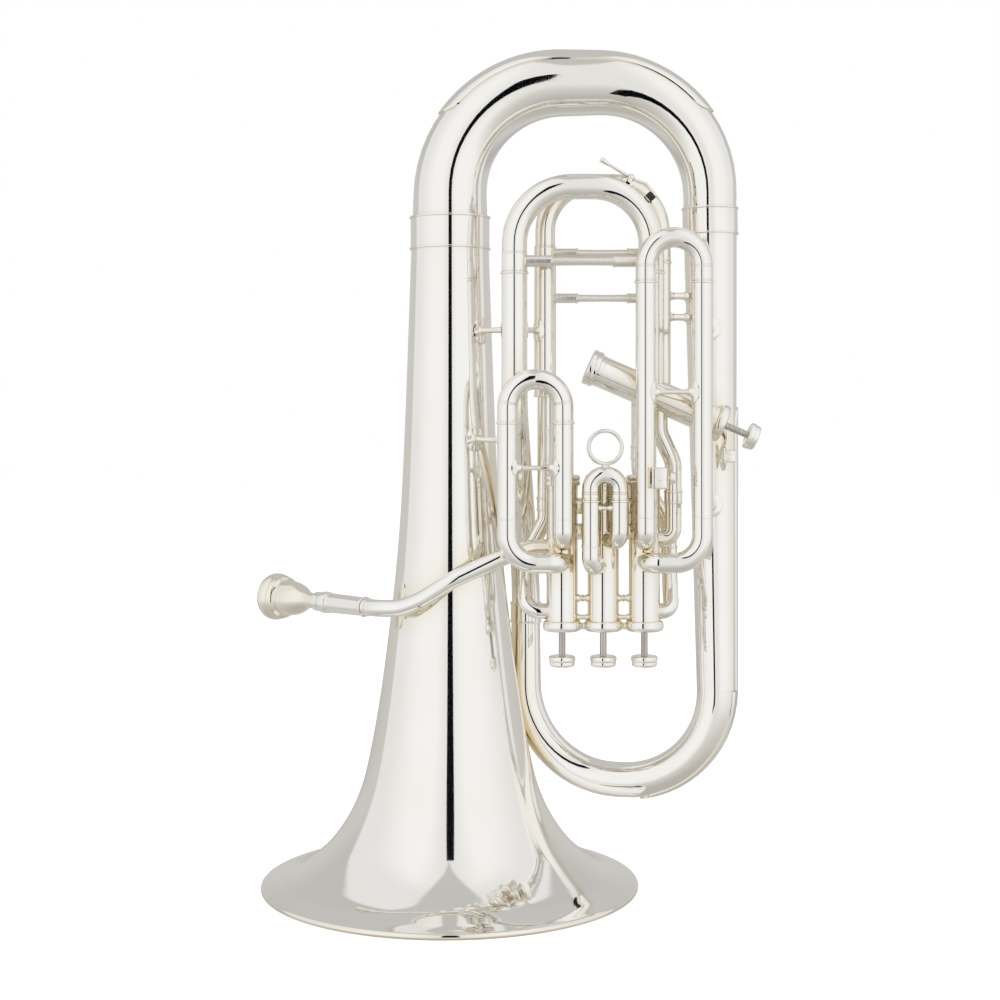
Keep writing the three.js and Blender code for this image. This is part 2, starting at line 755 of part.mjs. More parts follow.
// Ends of a level brace from a slide's sleeve to the right branch.
function spanToBranch(slide, z) {
  const share = (BRANCH_FERRULE.to - z) / (BRANCH_FERRULE.to - BRANCH.foot);
  const x = THREE.MathUtils.lerp(BRANCH.x, BRANCH.footX, share);
  const radius = THREE.MathUtils.lerp(BRANCH.radius, BRANCH.footRadius, share);
  return levelSpan([slide.right, slide.y], [x, BRANCH.y], z, inWall(slide), radius + GAP);
}
add(
  "fourth_slide",
  SILVER,
  join(
    slideBow(FOURTH_SLIDE),
    crossbar(FOURTH_SLIDE, FOURTH_BAR.z, FOURTH_SLIDE.leg - WALL / 2, FOURTH_BAR),
  ),
);
add(
  "fourth_slide_sleeves",
  SILVER,
  join(
    sleeve(FOURTH_SLIDE, ...fourthLeft, [[...fourthLeft, FOURTH_RETURN.top]]),
    sleeve(FOURTH_SLIDE, ...fourthRight, [
      [...fourthRight, FOURTH_PORT.z, FOURTH_PORT.bend],
      [FOURTH_SLIDE.right, SIDE_VALVE.y + CASING.radius + 2 * GAP, FOURTH_PORT.z],
    ]),
    crossbar(FOURTH_SLIDE, FOURTH_BAR.lowerZ, inWall(FOURTH_SLIDE), FOURTH_BAR),
    brace(
      ...levelSpan(
        fourthLeft,
        [MAIN_SLIDE.left, MAIN_SLIDE.y],
        BRACES.slides,
        inWall(FOURTH_SLIDE),
        MAIN_SLIDE.ferrule + GAP,
      ),
    ),
    ...BRACES.fourthBranch.map((z) =>
      brace(...spanToBranch(FOURTH_SLIDE, z), FOURTH_BAR.radius, FOURTH_BAR.endRadius),
    ),
  ),
);
add(
  "fourth_return_tube",
  SILVER,
  tube(
    new Route([
      [...fourthLeft, FOURTH_RETURN.top - GAP],
      ...FOURTH_RETURN_PATH,
      [VALVE_ROW.x - CASING.radius - GAP, VALVE_ROW.y, FOURTH_RETURN.port],
    ]),
    FOURTH_RETURN.radius,
  ),
);

// Valve slides 1 to 3 and their sleeves. Each inner leg turns into its own valve.
const valveX = [0, 1, 2].map((i) => VALVE_ROW.x + i * VALVE_ROW.pitch);
const legBar = (slide, z) =>
  crossbar(slide, z, inWall(slide), {
    radius: LEG_BAR.radius,
    endRadius: LEG_BAR.flange,
    ends: slide.ferrule + LEG_BAR.disc,
  });

// The outer leg bends level under the inner one before it turns into the valve.
function outerSleeve(slide, x, facing, valve) {
  const turnIn = valve - facing * KNUCKLE_OFFSET;
  return sleeve(slide, x, slide.y, [
    [x, slide.y, OUTER_PORT, OUTER_BEND],
    ...knuckle(turnIn, slide.y, OUTER_PORT, valve),
  ]);
}

function innerSleeve(slide, x, port, valve) {
  return sleeve(slide, x, slide.y, knuckle(x, slide.y, port, valve));
}

add("slide_1", SILVER, slideBow(FIRST_SLIDE));
add(
  "slide_1_sleeves",
  SILVER,
  join(
    outerSleeve(FIRST_SLIDE, FIRST_SLIDE.left, 1, valveX[0]),
    innerSleeve(FIRST_SLIDE, FIRST_SLIDE.right, INNER_PORT, valveX[0]),
    legBar(FIRST_SLIDE, BRACES.firstLegs),
    brace(...spanToBell(FIRST_SLIDE, BRACES.firstBell, inWall(FIRST_SLIDE))),
  ),
);
add("slide_2", SILVER, slideBow(SECOND_SLIDE));
add(
  "slide_2_sleeves",
  SILVER,
  join(
    innerSleeve(SECOND_SLIDE, SECOND_SLIDE.left, SECOND_OUTER_PORT, valveX[1]),
    innerSleeve(SECOND_SLIDE, SECOND_SLIDE.right, INNER_PORT, valveX[1]),
    legBar(SECOND_SLIDE, BRACES.secondLegs),
  ),
);
add("slide_3", SILVER, slideBow(THIRD_SLIDE));
add(
  "slide_3_sleeves",
  SILVER,
  join(
    innerSleeve(THIRD_SLIDE, THIRD_SLIDE.left, INNER_PORT, valveX[2]),
    outerSleeve(THIRD_SLIDE, THIRD_SLIDE.right, -1, valveX[2]),
    legBar(THIRD_SLIDE, BRACES.thirdLegs),
    ...BRACES.thirdBranch.map((z) => brace(...spanToBranch(THIRD_SLIDE, z))),
  ),
);
add(
  "slide_2_pull_ring",
  SILVER,
  new THREE.TorusGeometry(PULL_RING.radius, PULL_RING.wire, TUBE_SIDES / 2, BOW_SIDES)
    .rotateX(Math.PI / 2)
    .translate(
      (SECOND_SLIDE.left + SECOND_SLIDE.right) / 2,
      SLIDE_PLANE,
      SECOND_SLIDE.top + SECOND_SLIDE.crook + GAP + PULL_RING.radius + PULL_RING.wire,
    ),
);

// ---------- valves ----------
class Helix extends THREE.Curve {
  constructor(radius, from, to, turns) {
    super();
    Object.assign(this, { radius, from, to, turns });
  }

  getPoint(t, target = new THREE.Vector3()) {
    const angle = t * this.turns * 2 * Math.PI;
    const height = THREE.MathUtils.lerp(this.from, this.to, t);
    return target.set(this.radius * Math.cos(angle), this.radius * Math.sin(angle), height);
  }
}

function valveSpring(from, to) {
  const section = new THREE.Shape();
  for (let i = 0; i < SPRING.sides; i++) {
    const angle = (2 * Math.PI * i) / SPRING.sides;
    const point = [SPRING.wire * Math.cos(angle), SPRING.wire * Math.sin(angle)];
    if (i === 0) section.moveTo(...point);
    else section.lineTo(...point);
  }
  return new THREE.ExtrudeGeometry(section, {
    steps: SPRING.turns * SPRING.stepsPerTurn,
    extrudePath: new Helix(SPRING.radius, from + SPRING.wire, to - SPRING.wire, SPRING.turns),
  });
}

// One valve on its own upright axis: the button's end is down, the spring's end is up.
function addValve(name, length, place, extras = []) {
  const upright = (low, high) => straight([0, 0, low], [0, 0, high]);
  const casingEnd = length - CASING.end;
  const capInside = CASING.radius + GAP;
  const { height, wall } = CAP;
  const casing = hollow(
    upright(CASING.end, casingEnd),
    [[0, CASING.radius], [casingEnd - CASING.end, CASING.radius]],
    [[0, CASING.bore], [casingEnd - CASING.end, CASING.bore]],
    VALVE_SIDES,
  );
  add(name + "_casing", SILVER, join(casing, ...extras), place);
  add(
    name + "_top_cap",
    SILVER,
    hollow(
      upright(0, height),
      [[0, CAP.radius - CAP.edge], [CAP.edge, CAP.radius], [height, CAP.radius]],
      [[0, CAP.hole], [wall, CAP.hole], [wall, capInside], [height, capInside]],
      VALVE_SIDES,
    ),
    place,
  );
  add(
    name + "_bottom_cap",
    SILVER,
    hollow(
      upright(length - height, length),
      [[0, CAP.bottomRadius], [height - CAP.edge, CAP.bottomRadius], [height, CAP.bottomRadius - CAP.edge]],
      [[0, capInside], [height - wall, capInside], [height - wall, CAP.vent], [height, CAP.vent]],
      VALVE_SIDES,
    ),
    place,
  );
  const pistonFoot = wall + 2 * GAP;
  const { stem, stemLength } = PISTON;
  const shank = stemLength + pistonFoot;
  add(
    name + "_piston",
    STEEL,
    turned(
      upright(-stemLength, pistonFoot + PISTON.length),
      [
        [0, 0],
        [0, stem],
        [shank, stem],
        [shank, PISTON.radius],
        [shank + PISTON.length, PISTON.radius],
        [shank + PISTON.length, 0],
      ],
      VALVE_SIDES,
    ),
    place,
  );
  const { radius, height: thick, chamfer } = BUTTON;
  add(
    name + "_button",
    PEARL,
    turned(
      upright(-stemLength - GAP - thick, -stemLength - GAP),
      [
        [0, 0],
        [0, radius - chamfer],
        [chamfer, radius],
        [thick - chamfer, radius],
        [thick, radius - chamfer],
        [thick, 0],
      ],
      VALVE_SIDES,
    ),
    place,
  );
  const springSeat = pistonFoot + PISTON.length + GAP;
  add(name + "_spring", STEEL, valveSpring(springSeat, length - wall - GAP), place);
}

// Short tubes and ribs that tie the middle casing to its neighbours.
const linkStart = CASING.bore + GAP;
const linkEnd = VALVE_ROW.pitch - CASING.radius - GAP;
const links = VALVE_LINKS.flatMap(([z, radius]) =>
  [-1, 1].map((side) => rod([side * linkStart, 0, z], [side * linkEnd, 0, z], radius)),
);
valveX.forEach((x, i) => {
  const place = new THREE.Group();
  place.position.set(x, VALVE_ROW.y, VALVE_ROW.foot);
  group.add(place);
  addValve("valve_" + (i + 1), VALVE_ROW.length, place, i === 1 ? links : []);
});

// The fourth valve lies on a slope, its button at the right.
const slope = THREE.MathUtils.degToRad(SIDE_VALVE.tilt);
const sidePlace = new THREE.Group();
sidePlace.position.set(
  SIDE_VALVE.x + SIDE_VALVE.length * Math.cos(slope),
  SIDE_VALVE.y,
  SIDE_VALVE.z - SIDE_VALVE.length * Math.sin(slope),
);
sidePlace.rotation.y = slope - Math.PI / 2;
group.add(sidePlace);
addValve("valve_4", SIDE_VALVE.length, sidePlace);

// ---------- tubes between the valves ----------
const rightFace = valveX[2] + CASING.radius + GAP;
const backFace = VALVE_ROW.y + CASING.radius + GAP;
const returnEnd = THIRD_RETURN_PATH.at(-1);
add(
  "valve_3_to_4_tube",
  SILVER,
  tube(new Route([[rightFace, VALVE_ROW.y, INNER_PORT], ...LINK_PATH]), LINK_TUBE),
);
add(
  "compensating_return_tube",
  SILVER,
  tube(
    new Route([
      [rightFace, VALVE_ROW.y, FOURTH_RETURN.port],
      ...THIRD_RETURN_PATH,
      [returnEnd[0], SIDE_VALVE.y + CASING.radius + 2 * GAP, returnEnd[2]],
    ]),
    FOURTH_RETURN.radius,
  ),
);
LOOPS.forEach(({ high, low, back }, i) => {
  const x = valveX[i];
  const route = new Route([
    [x, backFace, high],
    [x, back, high, LOOP_BEND],
    [x, back, low, LOOP_BEND],
    [x, backFace, low],
  ]);
  add("compensating_loop_" + (i + 1), SILVER, tube(route, LOOP_TUBE));
});

// ---------- leadpipe, receiver, mouthpiece ----------
const receiverFoot = vec(RECEIVER.x, RECEIVER.y, RECEIVER.z);
const onMouthAxis = (distance) => receiverFoot.clone().addScaledVector(MOUTH_AXIS, distance).toArray();
const leadpipeRoute = new Route([
  [VALVE_ROW.x - CASING.radius - GAP, VALVE_ROW.y, LEADPIPE.port],
  ...LEADPIPE_PATH,
  [...onMouthAxis(-LEADPIPE.runIn), LEADPIPE.lastBend],
  onMouthAxis(0),
]);
const away = Math.hypot(LEAD_BRACE.x, LEAD_BRACE.y);
const toBell = (radius) => [(LEAD_BRACE.x * radius) / away, (LEAD_BRACE.y * radius) / away, LEAD_BRACE.z];
const plateMiddle = LEAD_PLATE.radius + LEAD_PLATE.wall / 2;
const leadBrace = rod(toBell(plateMiddle), toBell(away - LEADPIPE.radius + WALL), LEAD_BRACE.radius);
const leadPlate = new THREE.BoxGeometry(LEAD_PLATE.wall, LEAD_PLATE.width, LEAD_PLATE.height)
  .rotateZ(Math.atan2(LEAD_BRACE.y, LEAD_BRACE.x))
  .translate(...toBell(plateMiddle));
add(
  "leadpipe",
  SILVER,
  join(tube(leadpipeRoute, LEADPIPE.radius, LEADPIPE.endRadius), leadBrace, leadPlate),
);
const receiverRoute = straight(onMouthAxis(GAP), onMouthAxis(RECEIVER.length));
const receiverLength = receiverRoute.length;
const socketStart = receiverLength - MOUTHPIECE.inserted - 2 * SOCKET_SPARE;
add(
  "mouthpiece_receiver",
  SILVER,
  hollow(
    receiverRoute,
    [
      [0, RECEIVER.collar],
      [RECEIVER.collarHeight, RECEIVER.collar],
      [RECEIVER.collarHeight, RECEIVER.radius],
      [receiverLength, RECEIVER.mouthRadius],
    ],
    [
      [0, LEADPIPE.endRadius - WALL],
      [socketStart, LEADPIPE.endRadius - WALL],
      [socketStart, RECEIVER.bore],
      [receiverLength, RECEIVER.bore],
    ],
  ),
);
const mouthpieceFoot = RECEIVER.length - MOUTHPIECE.inserted;
add(
  "mouthpiece",
  SILVER,
  hollow(
    straight(onMouthAxis(mouthpieceFoot), onMouthAxis(mouthpieceFoot + MOUTHPIECE.length)),
    MOUTHPIECE_OUTSIDE,
    MOUTHPIECE_BORE,
    VALVE_SIDES,
  ),
);

// ---------- fittings ----------
add(
  "bell_brace",
  SILVER,
  brace(...spanToBell(MAIN_SLIDE, BRACES.bell, MAIN_SLIDE.ferrule + GAP)),
);
add("lyre_box", SILVER, join(box(LYRE_BOX.low, LYRE_BOX.high), box(LYRE_TAB.low, LYRE_TAB.high)));
const onScrew = (distance) => [LYRE_SCREW.x + distance, LYRE_SCREW.y, LYRE_SCREW.z];
add(
  "lyre_screw",
  SILVER,
  turned(straight(onScrew(0), onScrew(LYRE_SCREW.length)), [
    [0, 0],
    [0, LYRE_SCREW.stem],
    [LYRE_SCREW.neck, LYRE_SCREW.stem],
    [LYRE_SCREW.neck, LYRE_SCREW.knob],
    [LYRE_SCREW.length, LYRE_SCREW.knob],
    [LYRE_SCREW.length, 0],
  ]),
);
add(
  "thumb_ring",
  SILVER,
  join(
    new THREE.TorusGeometry(THUMB_RING.radius, THUMB_RING.wire, TUBE_SIDES / 2, BOW_SIDES)
      .rotateY(Math.PI / 2)
      .translate(THUMB_RING.x, THUMB_RING.y, THUMB_RING.z),
    box(RING_BLOCK.low, RING_BLOCK.high),
  ),
);

// The origin is the bottom centre of the whole instrument.
const bounds = new THREE.Box3().setFromObject(group);
const middle = bounds.getCenter(vec(0, 0, 0));
group.position.set(-middle.x, -middle.y, -bounds.min.z);

export default group;
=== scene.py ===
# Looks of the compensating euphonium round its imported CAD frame. Working units are millimetres from the
# bell's axis at the rim, as in the CAD source; make() turns them into metres in the row's frame.
import math
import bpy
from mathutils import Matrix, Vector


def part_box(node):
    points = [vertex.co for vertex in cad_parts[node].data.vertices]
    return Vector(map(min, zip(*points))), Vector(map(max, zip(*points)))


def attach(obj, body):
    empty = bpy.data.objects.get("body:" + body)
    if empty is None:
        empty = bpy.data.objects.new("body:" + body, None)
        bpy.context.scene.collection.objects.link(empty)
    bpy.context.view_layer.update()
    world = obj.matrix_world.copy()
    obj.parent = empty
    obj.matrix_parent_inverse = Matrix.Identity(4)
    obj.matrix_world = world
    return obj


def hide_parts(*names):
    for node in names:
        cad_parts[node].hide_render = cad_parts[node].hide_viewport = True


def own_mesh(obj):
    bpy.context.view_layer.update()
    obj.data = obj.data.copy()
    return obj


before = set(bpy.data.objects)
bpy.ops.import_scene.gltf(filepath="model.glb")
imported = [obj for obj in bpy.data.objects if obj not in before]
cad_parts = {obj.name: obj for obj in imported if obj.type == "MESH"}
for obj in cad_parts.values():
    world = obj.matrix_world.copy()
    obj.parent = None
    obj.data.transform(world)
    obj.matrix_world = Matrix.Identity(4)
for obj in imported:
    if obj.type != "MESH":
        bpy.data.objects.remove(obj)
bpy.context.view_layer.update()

from types import SimpleNamespace

import bmesh
import bpy
from mathutils import Quaternion, Vector

MM = 0.001
TINY = 1e-6
SHARP_EDGE = math.radians(38)
BEND_STEP = math.radians(6)
CORNER_TURN = math.radians(10)  # a profile's corner that turns more than this gets supporting points
BLUNT_CORNER = math.radians(150)  # a corner whose sides open wider than this is left as it is
SUPPORT = 0.25  # distance of a supporting point from its corner
LONG_WALL = 1.6  # shortest straight wall that gets supporting points
WALL = 1.0
FIT = 0.35  # clearance that the CAD keeps round a sliding leg
CASING_RADIUS = 12.3
SUNK = 0.5  # how far a tube's end reaches into the valve casing it meets
bell_low, bell_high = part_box("bell")
ORIGIN = Vector(((bell_low.x + bell_high.x) / 2, (bell_low.y + bell_high.y) / 2, bell_low.z))
ROOT = "instrument"


# ---------- materials ----------
def new_material(name):
    material = bpy.data.materials.new(name)
    material.use_nodes = True
    tree = material.node_tree
    return material, tree, tree.nodes["Principled BSDF"]


def fill(tree, node, values):
    """Sets a node's inputs, or links them where the value is another node's output."""
    for socket, value in values.items():
        if isinstance(value, bpy.types.NodeSocket):
            tree.links.new(value, node.inputs[socket])
        else:
            node.inputs[socket].default_value = value


def add_node(tree, kind, values, output=0):
    """A new shader node's output."""
    node = tree.nodes.new("ShaderNode" + kind)
    fill(tree, node, values)
    return node.outputs[output]


def noise(tree, scale, detail=3.0, stretch=(1, 1, 1)):
    coords = add_node(tree, "TexCoord", {}, "Object")
    place = add_node(tree, "Mapping", {"Scale": stretch, "Vector": coords})
    return add_node(tree, "TexNoise", {"Scale": scale, "Detail": detail, "Vector": place}, "Fac")


def ramp(tree, source, low, high, first, last):
    colour = add_node(tree, "ValToRGB", {"Fac": source}, "Color")
    for stop, position, shade in zip(colour.node.color_ramp.elements, (first, last), (low, high)):
        stop.position = position
        stop.color = (*shade, 1)
    return colour


def spread(tree, source, low, high, first=0.3, last=0.7):
    values = {"Value": source, "From Min": first, "From Max": last, "To Min": low, "To Max": high}
    return add_node(tree, "MapRange", values, "Result")


def mix_colours(tree, factor, first, last):
    colour = add_node(tree, "Mix", {}, 2)
    colour.node.data_type = "RGBA"
    fill(tree, colour.node, {0: factor, 6: first, 7: last})
    return colour


def bump(tree, source, strength, distance):
    return add_node(tree, "Bump", {"Strength": strength, "Distance": distance, "Height": source})


def silver_plate(name, clean, toned, warm, roughness, polish_marks):
    """Polished plate: a warm tone in patches, painted warm shade in the gaps and creases between parts, faint
    polishing marks, gently uneven sheet.
    """
    material, tree, shader = new_material(name)
    patches = ramp(tree, noise(tree, 14, 4), toned, clean, 0.30, 0.62)
    # Painted shade: ambient occlusion blends the colour towards the warm gap colour in gaps and creases,
    # standing in for shade and light bounced between close parts.
    gap_occlusion = add_node(tree, "AmbientOcclusion", {"Distance": 0.022}, "AO")
    gap_occlusion.node.samples = 4
    open_share = spread(tree, gap_occlusion, 0, 1, 0.35, 0.92)
    marks = noise(tree, 900, 2, (1, 1, 0.06))
    fill(tree, shader, {
        "Metallic": 1.0,
        "Base Color": mix_colours(tree, open_share, (*warm, 1), patches),
        "Roughness": spread(tree, marks, roughness, roughness + polish_marks),
        "Normal": bump(tree, noise(tree, 55, 2), 0.03, 0.0002),
    })
    return material


def patterned(name, pattern, colours, roughness, relief):
    """A material whose colour, roughness and relief all follow one noise."""
    material, tree, shader = new_material(name)
    source = noise(tree, *pattern)
    fill(tree, shader, {
        "Base Color": ramp(tree, source, *colours),
        "Roughness": spread(tree, source, *roughness),
        "Normal": bump(tree, source, *relief),
    })
    return material, shader


def brushed_steel(name):
    lines = (700, 3, (1, 1, 0.03))
    colours = ((0.46, 0.435, 0.40), (0.62, 0.59, 0.555), 0.35, 0.65)
    material, shader = patterned(name, lines, colours, (0.16, 0.26), (0.08, 0.0001))
    shader.inputs["Metallic"].default_value = 1.0
    return material


def mother_of_pearl(name):
    bands = (130, 5, (1, 0.35, 1))
    colours = ((0.80, 0.83, 0.78), (0.93, 0.88, 0.83), 0.38, 0.6)
    material, shader = patterned(name, bands, colours, (0.16, 0.3), (0.05, 0.0002))
    shader.inputs["Coat Weight"].default_value = 0.5
    shader.inputs["Coat Roughness"].default_value = 0.08
    return material


def natural_cork(name):
    colours = ((0.008, 0.007, 0.006), (0.045, 0.038, 0.03), 0.35, 0.7)
    return patterned(name, (1400, 6), colours, (0.7, 0.95), (0.5, 0.0004))[0]


# Each plate's third colour is its painted shade, laid into gaps and creases by ambient occlusion.
SILVER = silver_plate(
    "silver_plate", (0.972, 0.962, 0.942), (0.955, 0.938, 0.903), (0.90, 0.82, 0.66), 0.03, 0.04)
WARM_SILVER = silver_plate(
    "silver_plate_warm", (0.955, 0.925, 0.85), (0.93, 0.89, 0.79), (0.86, 0.77, 0.58), 0.05, 0.05)
SATIN = silver_plate(
    "silver_plate_satin", (0.955, 0.94, 0.91), (0.93, 0.905, 0.855), (0.88, 0.80, 0.65), 0.2, 0.08)
STEEL = brushed_steel("valve_steel")
PEARL = mother_of_pearl("button_pearl")
CORK = natural_cork("water_key_cork_black")


# ---------- routes and surfaces ----------
class Route:
    """Straight runs joined by round bends. Corners are (x, y, z) or (x, y, z, bend radius)."""

    def __init__(self, *corners):
        points = [Vector(c[:3]) for c in corners]
        heading = (points[1] - points[0]).normalized()
        reference = Vector((0, 1, 0)) if abs(heading.z) > 0.9 else Vector((0, 0, 1))
        normal = (reference - heading * reference.dot(heading)).normalized()
        self.parts = []
        self.length = 0.0
        here = points[0]
        for i in range(1, len(points) - 1):
            following = (points[i + 1] - points[i]).normalized()
            turn = heading.angle(following)
            if turn < 1e-4:
                continue
            axis = heading.cross(following).normalized()
            radius = corners[i][3]
            start = points[i] - heading * radius * math.tan(turn / 2)
            self.put(here, heading, normal, (start - here).length, None, 0)
            centre = start + axis.cross(heading) * radius
            self.put(start, heading, normal, radius * turn, (centre, axis), turn)
            spin = Quaternion(axis, turn)
            here = centre + spin @ (start - centre)
            normal = spin @ normal
            heading = following
        self.put(here, heading, normal, (points[-1] - here).length, None, 0)

    def put(self, start, heading, normal, length, bend, turn):
        if length > TINY:
            self.parts.append((self.length, length, start.copy(), heading.copy(), normal.copy(), bend, turn))
            self.length += length

    def at(self, s):
        part = next((p for p in self.parts if s <= p[0] + p[1] + TINY), self.parts[-1])
        begin, length, start, heading, normal, bend, turn = part
        along = s - begin
        if bend is None:
            point = start + heading * along
        else:
            centre, axis = bend
            spin = Quaternion(axis, turn * along / length)
            point = centre + spin @ (start - centre)
            heading = spin @ heading
            normal = spin @ normal
        return point, heading, normal, normal.cross(heading)

    def marks(self):
        found = []
        for begin, length, _, _, _, bend, turn in self.parts:
            steps = max(2, round(turn / BEND_STEP)) if bend else 1
            found += [begin + length * k / steps for k in range(steps + 1)]
        return sorted(set(round(s, 5) for s in found))


def rounded(loop, size, closed=True):
    """A profile with its sharp corners cut by short arcs."""
    result = []
    count = len(loop)
    for i, point in enumerate(loop):
        if not closed and i in (0, count - 1):
            result.append(point)
            continue
        here = Vector(point)
        before = Vector(loop[i - 1]) - here
        after = Vector(loop[(i + 1) % count]) - here
        if min(before.length, after.length) < TINY or before.angle(after) > BLUNT_CORNER:
            result.append(point)
            continue
        cut = min(size, 0.45 * before.length, 0.45 * after.length)
        a = here + before.normalized() * cut
        b = here + after.normalized() * cut
        for t in (0, 0.35, 0.65, 1):
            curve = a * (1 - t) ** 2 + here * 2 * t * (1 - t) + b * t**2
            result.append(tuple(curve))
    return result


def supported(loop, closed=True):
    """The profile with a point close to each corner, so that smooth shading stays straight on the walls."""
    result = []
    count = len(loop)
    for i in range(count):
        here = Vector(loop[i])
        result.append(loop[i])
        if not closed and i == count - 1:
            break
        along = Vector(loop[(i + 1) % count]) - here
        if along.length < LONG_WALL:
            continue
        before = here - Vector(loop[i - 1])
        after = Vector(loop[(i + 2) % count]) - Vector(loop[(i + 1) % count])
        step = along.normalized() * SUPPORT
        if before.length > TINY and before.angle(along) > CORNER_TURN:
            result.append(tuple(here + step))
        if after.length > TINY and after.angle(along) > CORNER_TURN:
            result.append(tuple(here + along - step))
    return result


def refine(loop, marks, closed=True):
    """The profile with extra points at the route's marks."""
    loop = supported(loop, closed)
    result = []
    count = len(loop)
    for i in range(count if closed else count - 1):
        (s0, r0), (s1, r1) = loop[i], loop[(i + 1) % count]
        result.append((s0, r0))
        inside = [s for s in marks if min(s0, s1) + 0.05 < s < max(s0, s1) - 0.05]
        for s in inside if s1 > s0 else reversed(inside):
            result.append((s, r0 + (r1 - r0) * (s - s0) / (s1 - s0)))
    if not closed:
        result.append(loop[-1])
    return result


class Fit:
    """An upright or slanted cylinder that a tube's or rod's end is cut to."""

    def __init__(self, point, direction, radius):
        self.point = Vector(point)
        self.direction = Vector(direction).normalized()
        self.radius = radius

    def cut(self, vertex, heading):
        """The vertex slid along the heading on to the cylinder, on the side that the heading meets first."""
        across = vertex - self.point
        across -= self.direction * across.dot(self.direction)
        h = heading - self.direction * heading.dot(self.direction)
        a, b, c = h.dot(h), 2 * across.dot(h), across.dot(across) - self.radius**2
        inside = b * b - 4 * a * c
        t = -b / (2 * a) if inside < 0 else (-b - math.sqrt(inside)) / (2 * a)
        return vertex + heading * t


def around(count):
    """The angles of equal steps round a full turn."""
    return [2 * math.pi * k / count for k in range(count)]


def join_rows(rows, closed=False):
    """Faces between neighbouring rows of vertex numbers. A row of one number is a pole."""
    faces = []
    for a, b in zip(rows, rows[1:] + rows[:1] if closed else rows[1:]):
        sides = max(len(a), len(b))
        for k in range(sides):
            n = (k + 1) % sides
            if len(a) > 1 and len(b) > 1:
                faces.append((a[k], a[n], b[n], b[k]))
            elif len(b) > 1:
                faces.append((a[0], b[n], b[k]))
            elif len(a) > 1:
                faces.append((a[k], a[n], b[0]))
    return faces


def sweep(route, loop, sides=40, closed=True, start=None, end=None):
    """A profile loop of (distance, radius) swept round a route. Returns vertices and faces."""
    vertices, rows = [], []
    for s, radius in refine(loop, route.marks(), closed):
        point, heading, normal, side = route.at(s)
        if radius < TINY:
            rows.append([len(vertices)])
            vertices.append(point)
            continue
        rows.append(range(len(vertices), len(vertices) + sides))
        for angle in around(sides):
            vertex = point + (normal * math.cos(angle) + side * math.sin(angle)) * radius
            if start and s < TINY:
                vertex = start.cut(vertex, -heading)
            if end and s > route.length - TINY:
                vertex = end.cut(vertex, heading)
            vertices.append(vertex)
    return vertices, join_rows(rows, closed)


def pipe(route, radii, sides=36, **ends):
    """A plain tube: radii is one radius or a list of (share of the length, radius)."""
    if not isinstance(radii, (list, tuple)):
        radii = [(0, radii), (1, radii)]
    outer = [(share * route.length, r) for share, r in radii]
    inner = [(s, r - WALL) for s, r in reversed(outer)]
    return sweep(route, outer + inner, sides, **ends)


def rod(a, b, profile, sides=28, start=None, end=None, edge=0.3):
    """A turned rod from a to b: profile is [(distance, radius)], or one radius."""
    route = Route(tuple(a), tuple(b))
    if not isinstance(profile, list):
        profile = [(0, profile), (route.length, profile)]
    loop = [(profile[0][0], 0)] + profile + [(profile[-1][0], 0)]
    return sweep(route, rounded(loop, edge, False), sides, False, start, end)


def block(low, high, edge=0.6):
    """A box with rounded edges."""
    mesh = bmesh.new()
    bmesh.ops.create_cube(mesh, size=1)
    low, high = Vector(low), Vector(high)
    for v in mesh.verts:
        v.co = Vector(((low[i] + high[i]) / 2 + v.co[i] * (high[i] - low[i]) for i in range(3)))
    bmesh.ops.bevel(mesh, geom=mesh.edges[:], offset=edge, segments=3, profile=0.5, affect="EDGES")
    mesh.verts.ensure_lookup_table()
    result = [v.co.copy() for v in mesh.verts], [tuple(v.index for v in f.verts) for f in mesh.faces]
    mesh.free()
    return result


def wound(path, axis, wire, sides):
    """A round wire along (middle, outward direction) pairs that go round an axis: vertices and their rows."""
    vertices = []
    for middle, out in path:
        vertices += [middle + (out * math.cos(turn) - axis * math.sin(turn)) * wire for turn in around(sides)]
    return vertices, [range(i, i + sides) for i in range(0, len(vertices), sides)]


def circle(centre, axis, radius, angle):
    """The place at an angle on a circle, and its direction from the centre."""
    first = axis.orthogonal().normalized()
    out = first * math.cos(angle) + axis.cross(first) * math.sin(angle)
    return centre + out * radius, out


def ring(centre, axis, radius, wire, sides=14, steps=56):
    """A round wire ring."""
    centre, axis = Vector(centre), Vector(axis)
    path = [circle(centre, axis, radius, angle) for angle in around(steps)]
    vertices, rows = wound(path, axis, wire, sides)
    return vertices, join_rows(rows, closed=True)


def coil(a, b, radius, wire, turns, sides=8, steps=18):
    """A wire wound round the line from a to b."""
    a, b = Vector(a), Vector(b)
    axis = (b - a).normalized()
    total = int(turns * steps)
    path = [circle(a.lerp(b, i / total), axis, radius, 2 * math.pi * i / steps) for i in range(total + 1)]
    vertices, rows = wound(path, axis, wire, sides)
    return vertices, join_rows(rows) + [tuple(reversed(rows[0])), tuple(rows[-1])]


def make(name, parts, material=SILVER, body=ROOT, nodes=()):
    """One object from several closed parts, riding on a body and standing for CAD nodes."""
    vertices, faces = [], []
    for part_vertices, part_faces in parts:
        base = len(vertices)
        vertices += [tuple(v * MM + ORIGIN) for v in part_vertices]
        faces += [tuple(base + i for i in face) for face in part_faces]
    mesh = bpy.data.meshes.new(name)
    mesh.from_pydata(vertices, [], faces)
    mesh.validate()
    mesh.polygons.foreach_set("use_smooth", [True] * len(mesh.polygons))
    mesh.set_sharp_from_angle(angle=SHARP_EDGE)
    mesh.materials.append(material)
    piece = bpy.data.objects.new(name, mesh)
    bpy.context.scene.collection.objects.link(piece)
    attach(piece, body)
    if nodes:
        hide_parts(*nodes)
    return piece


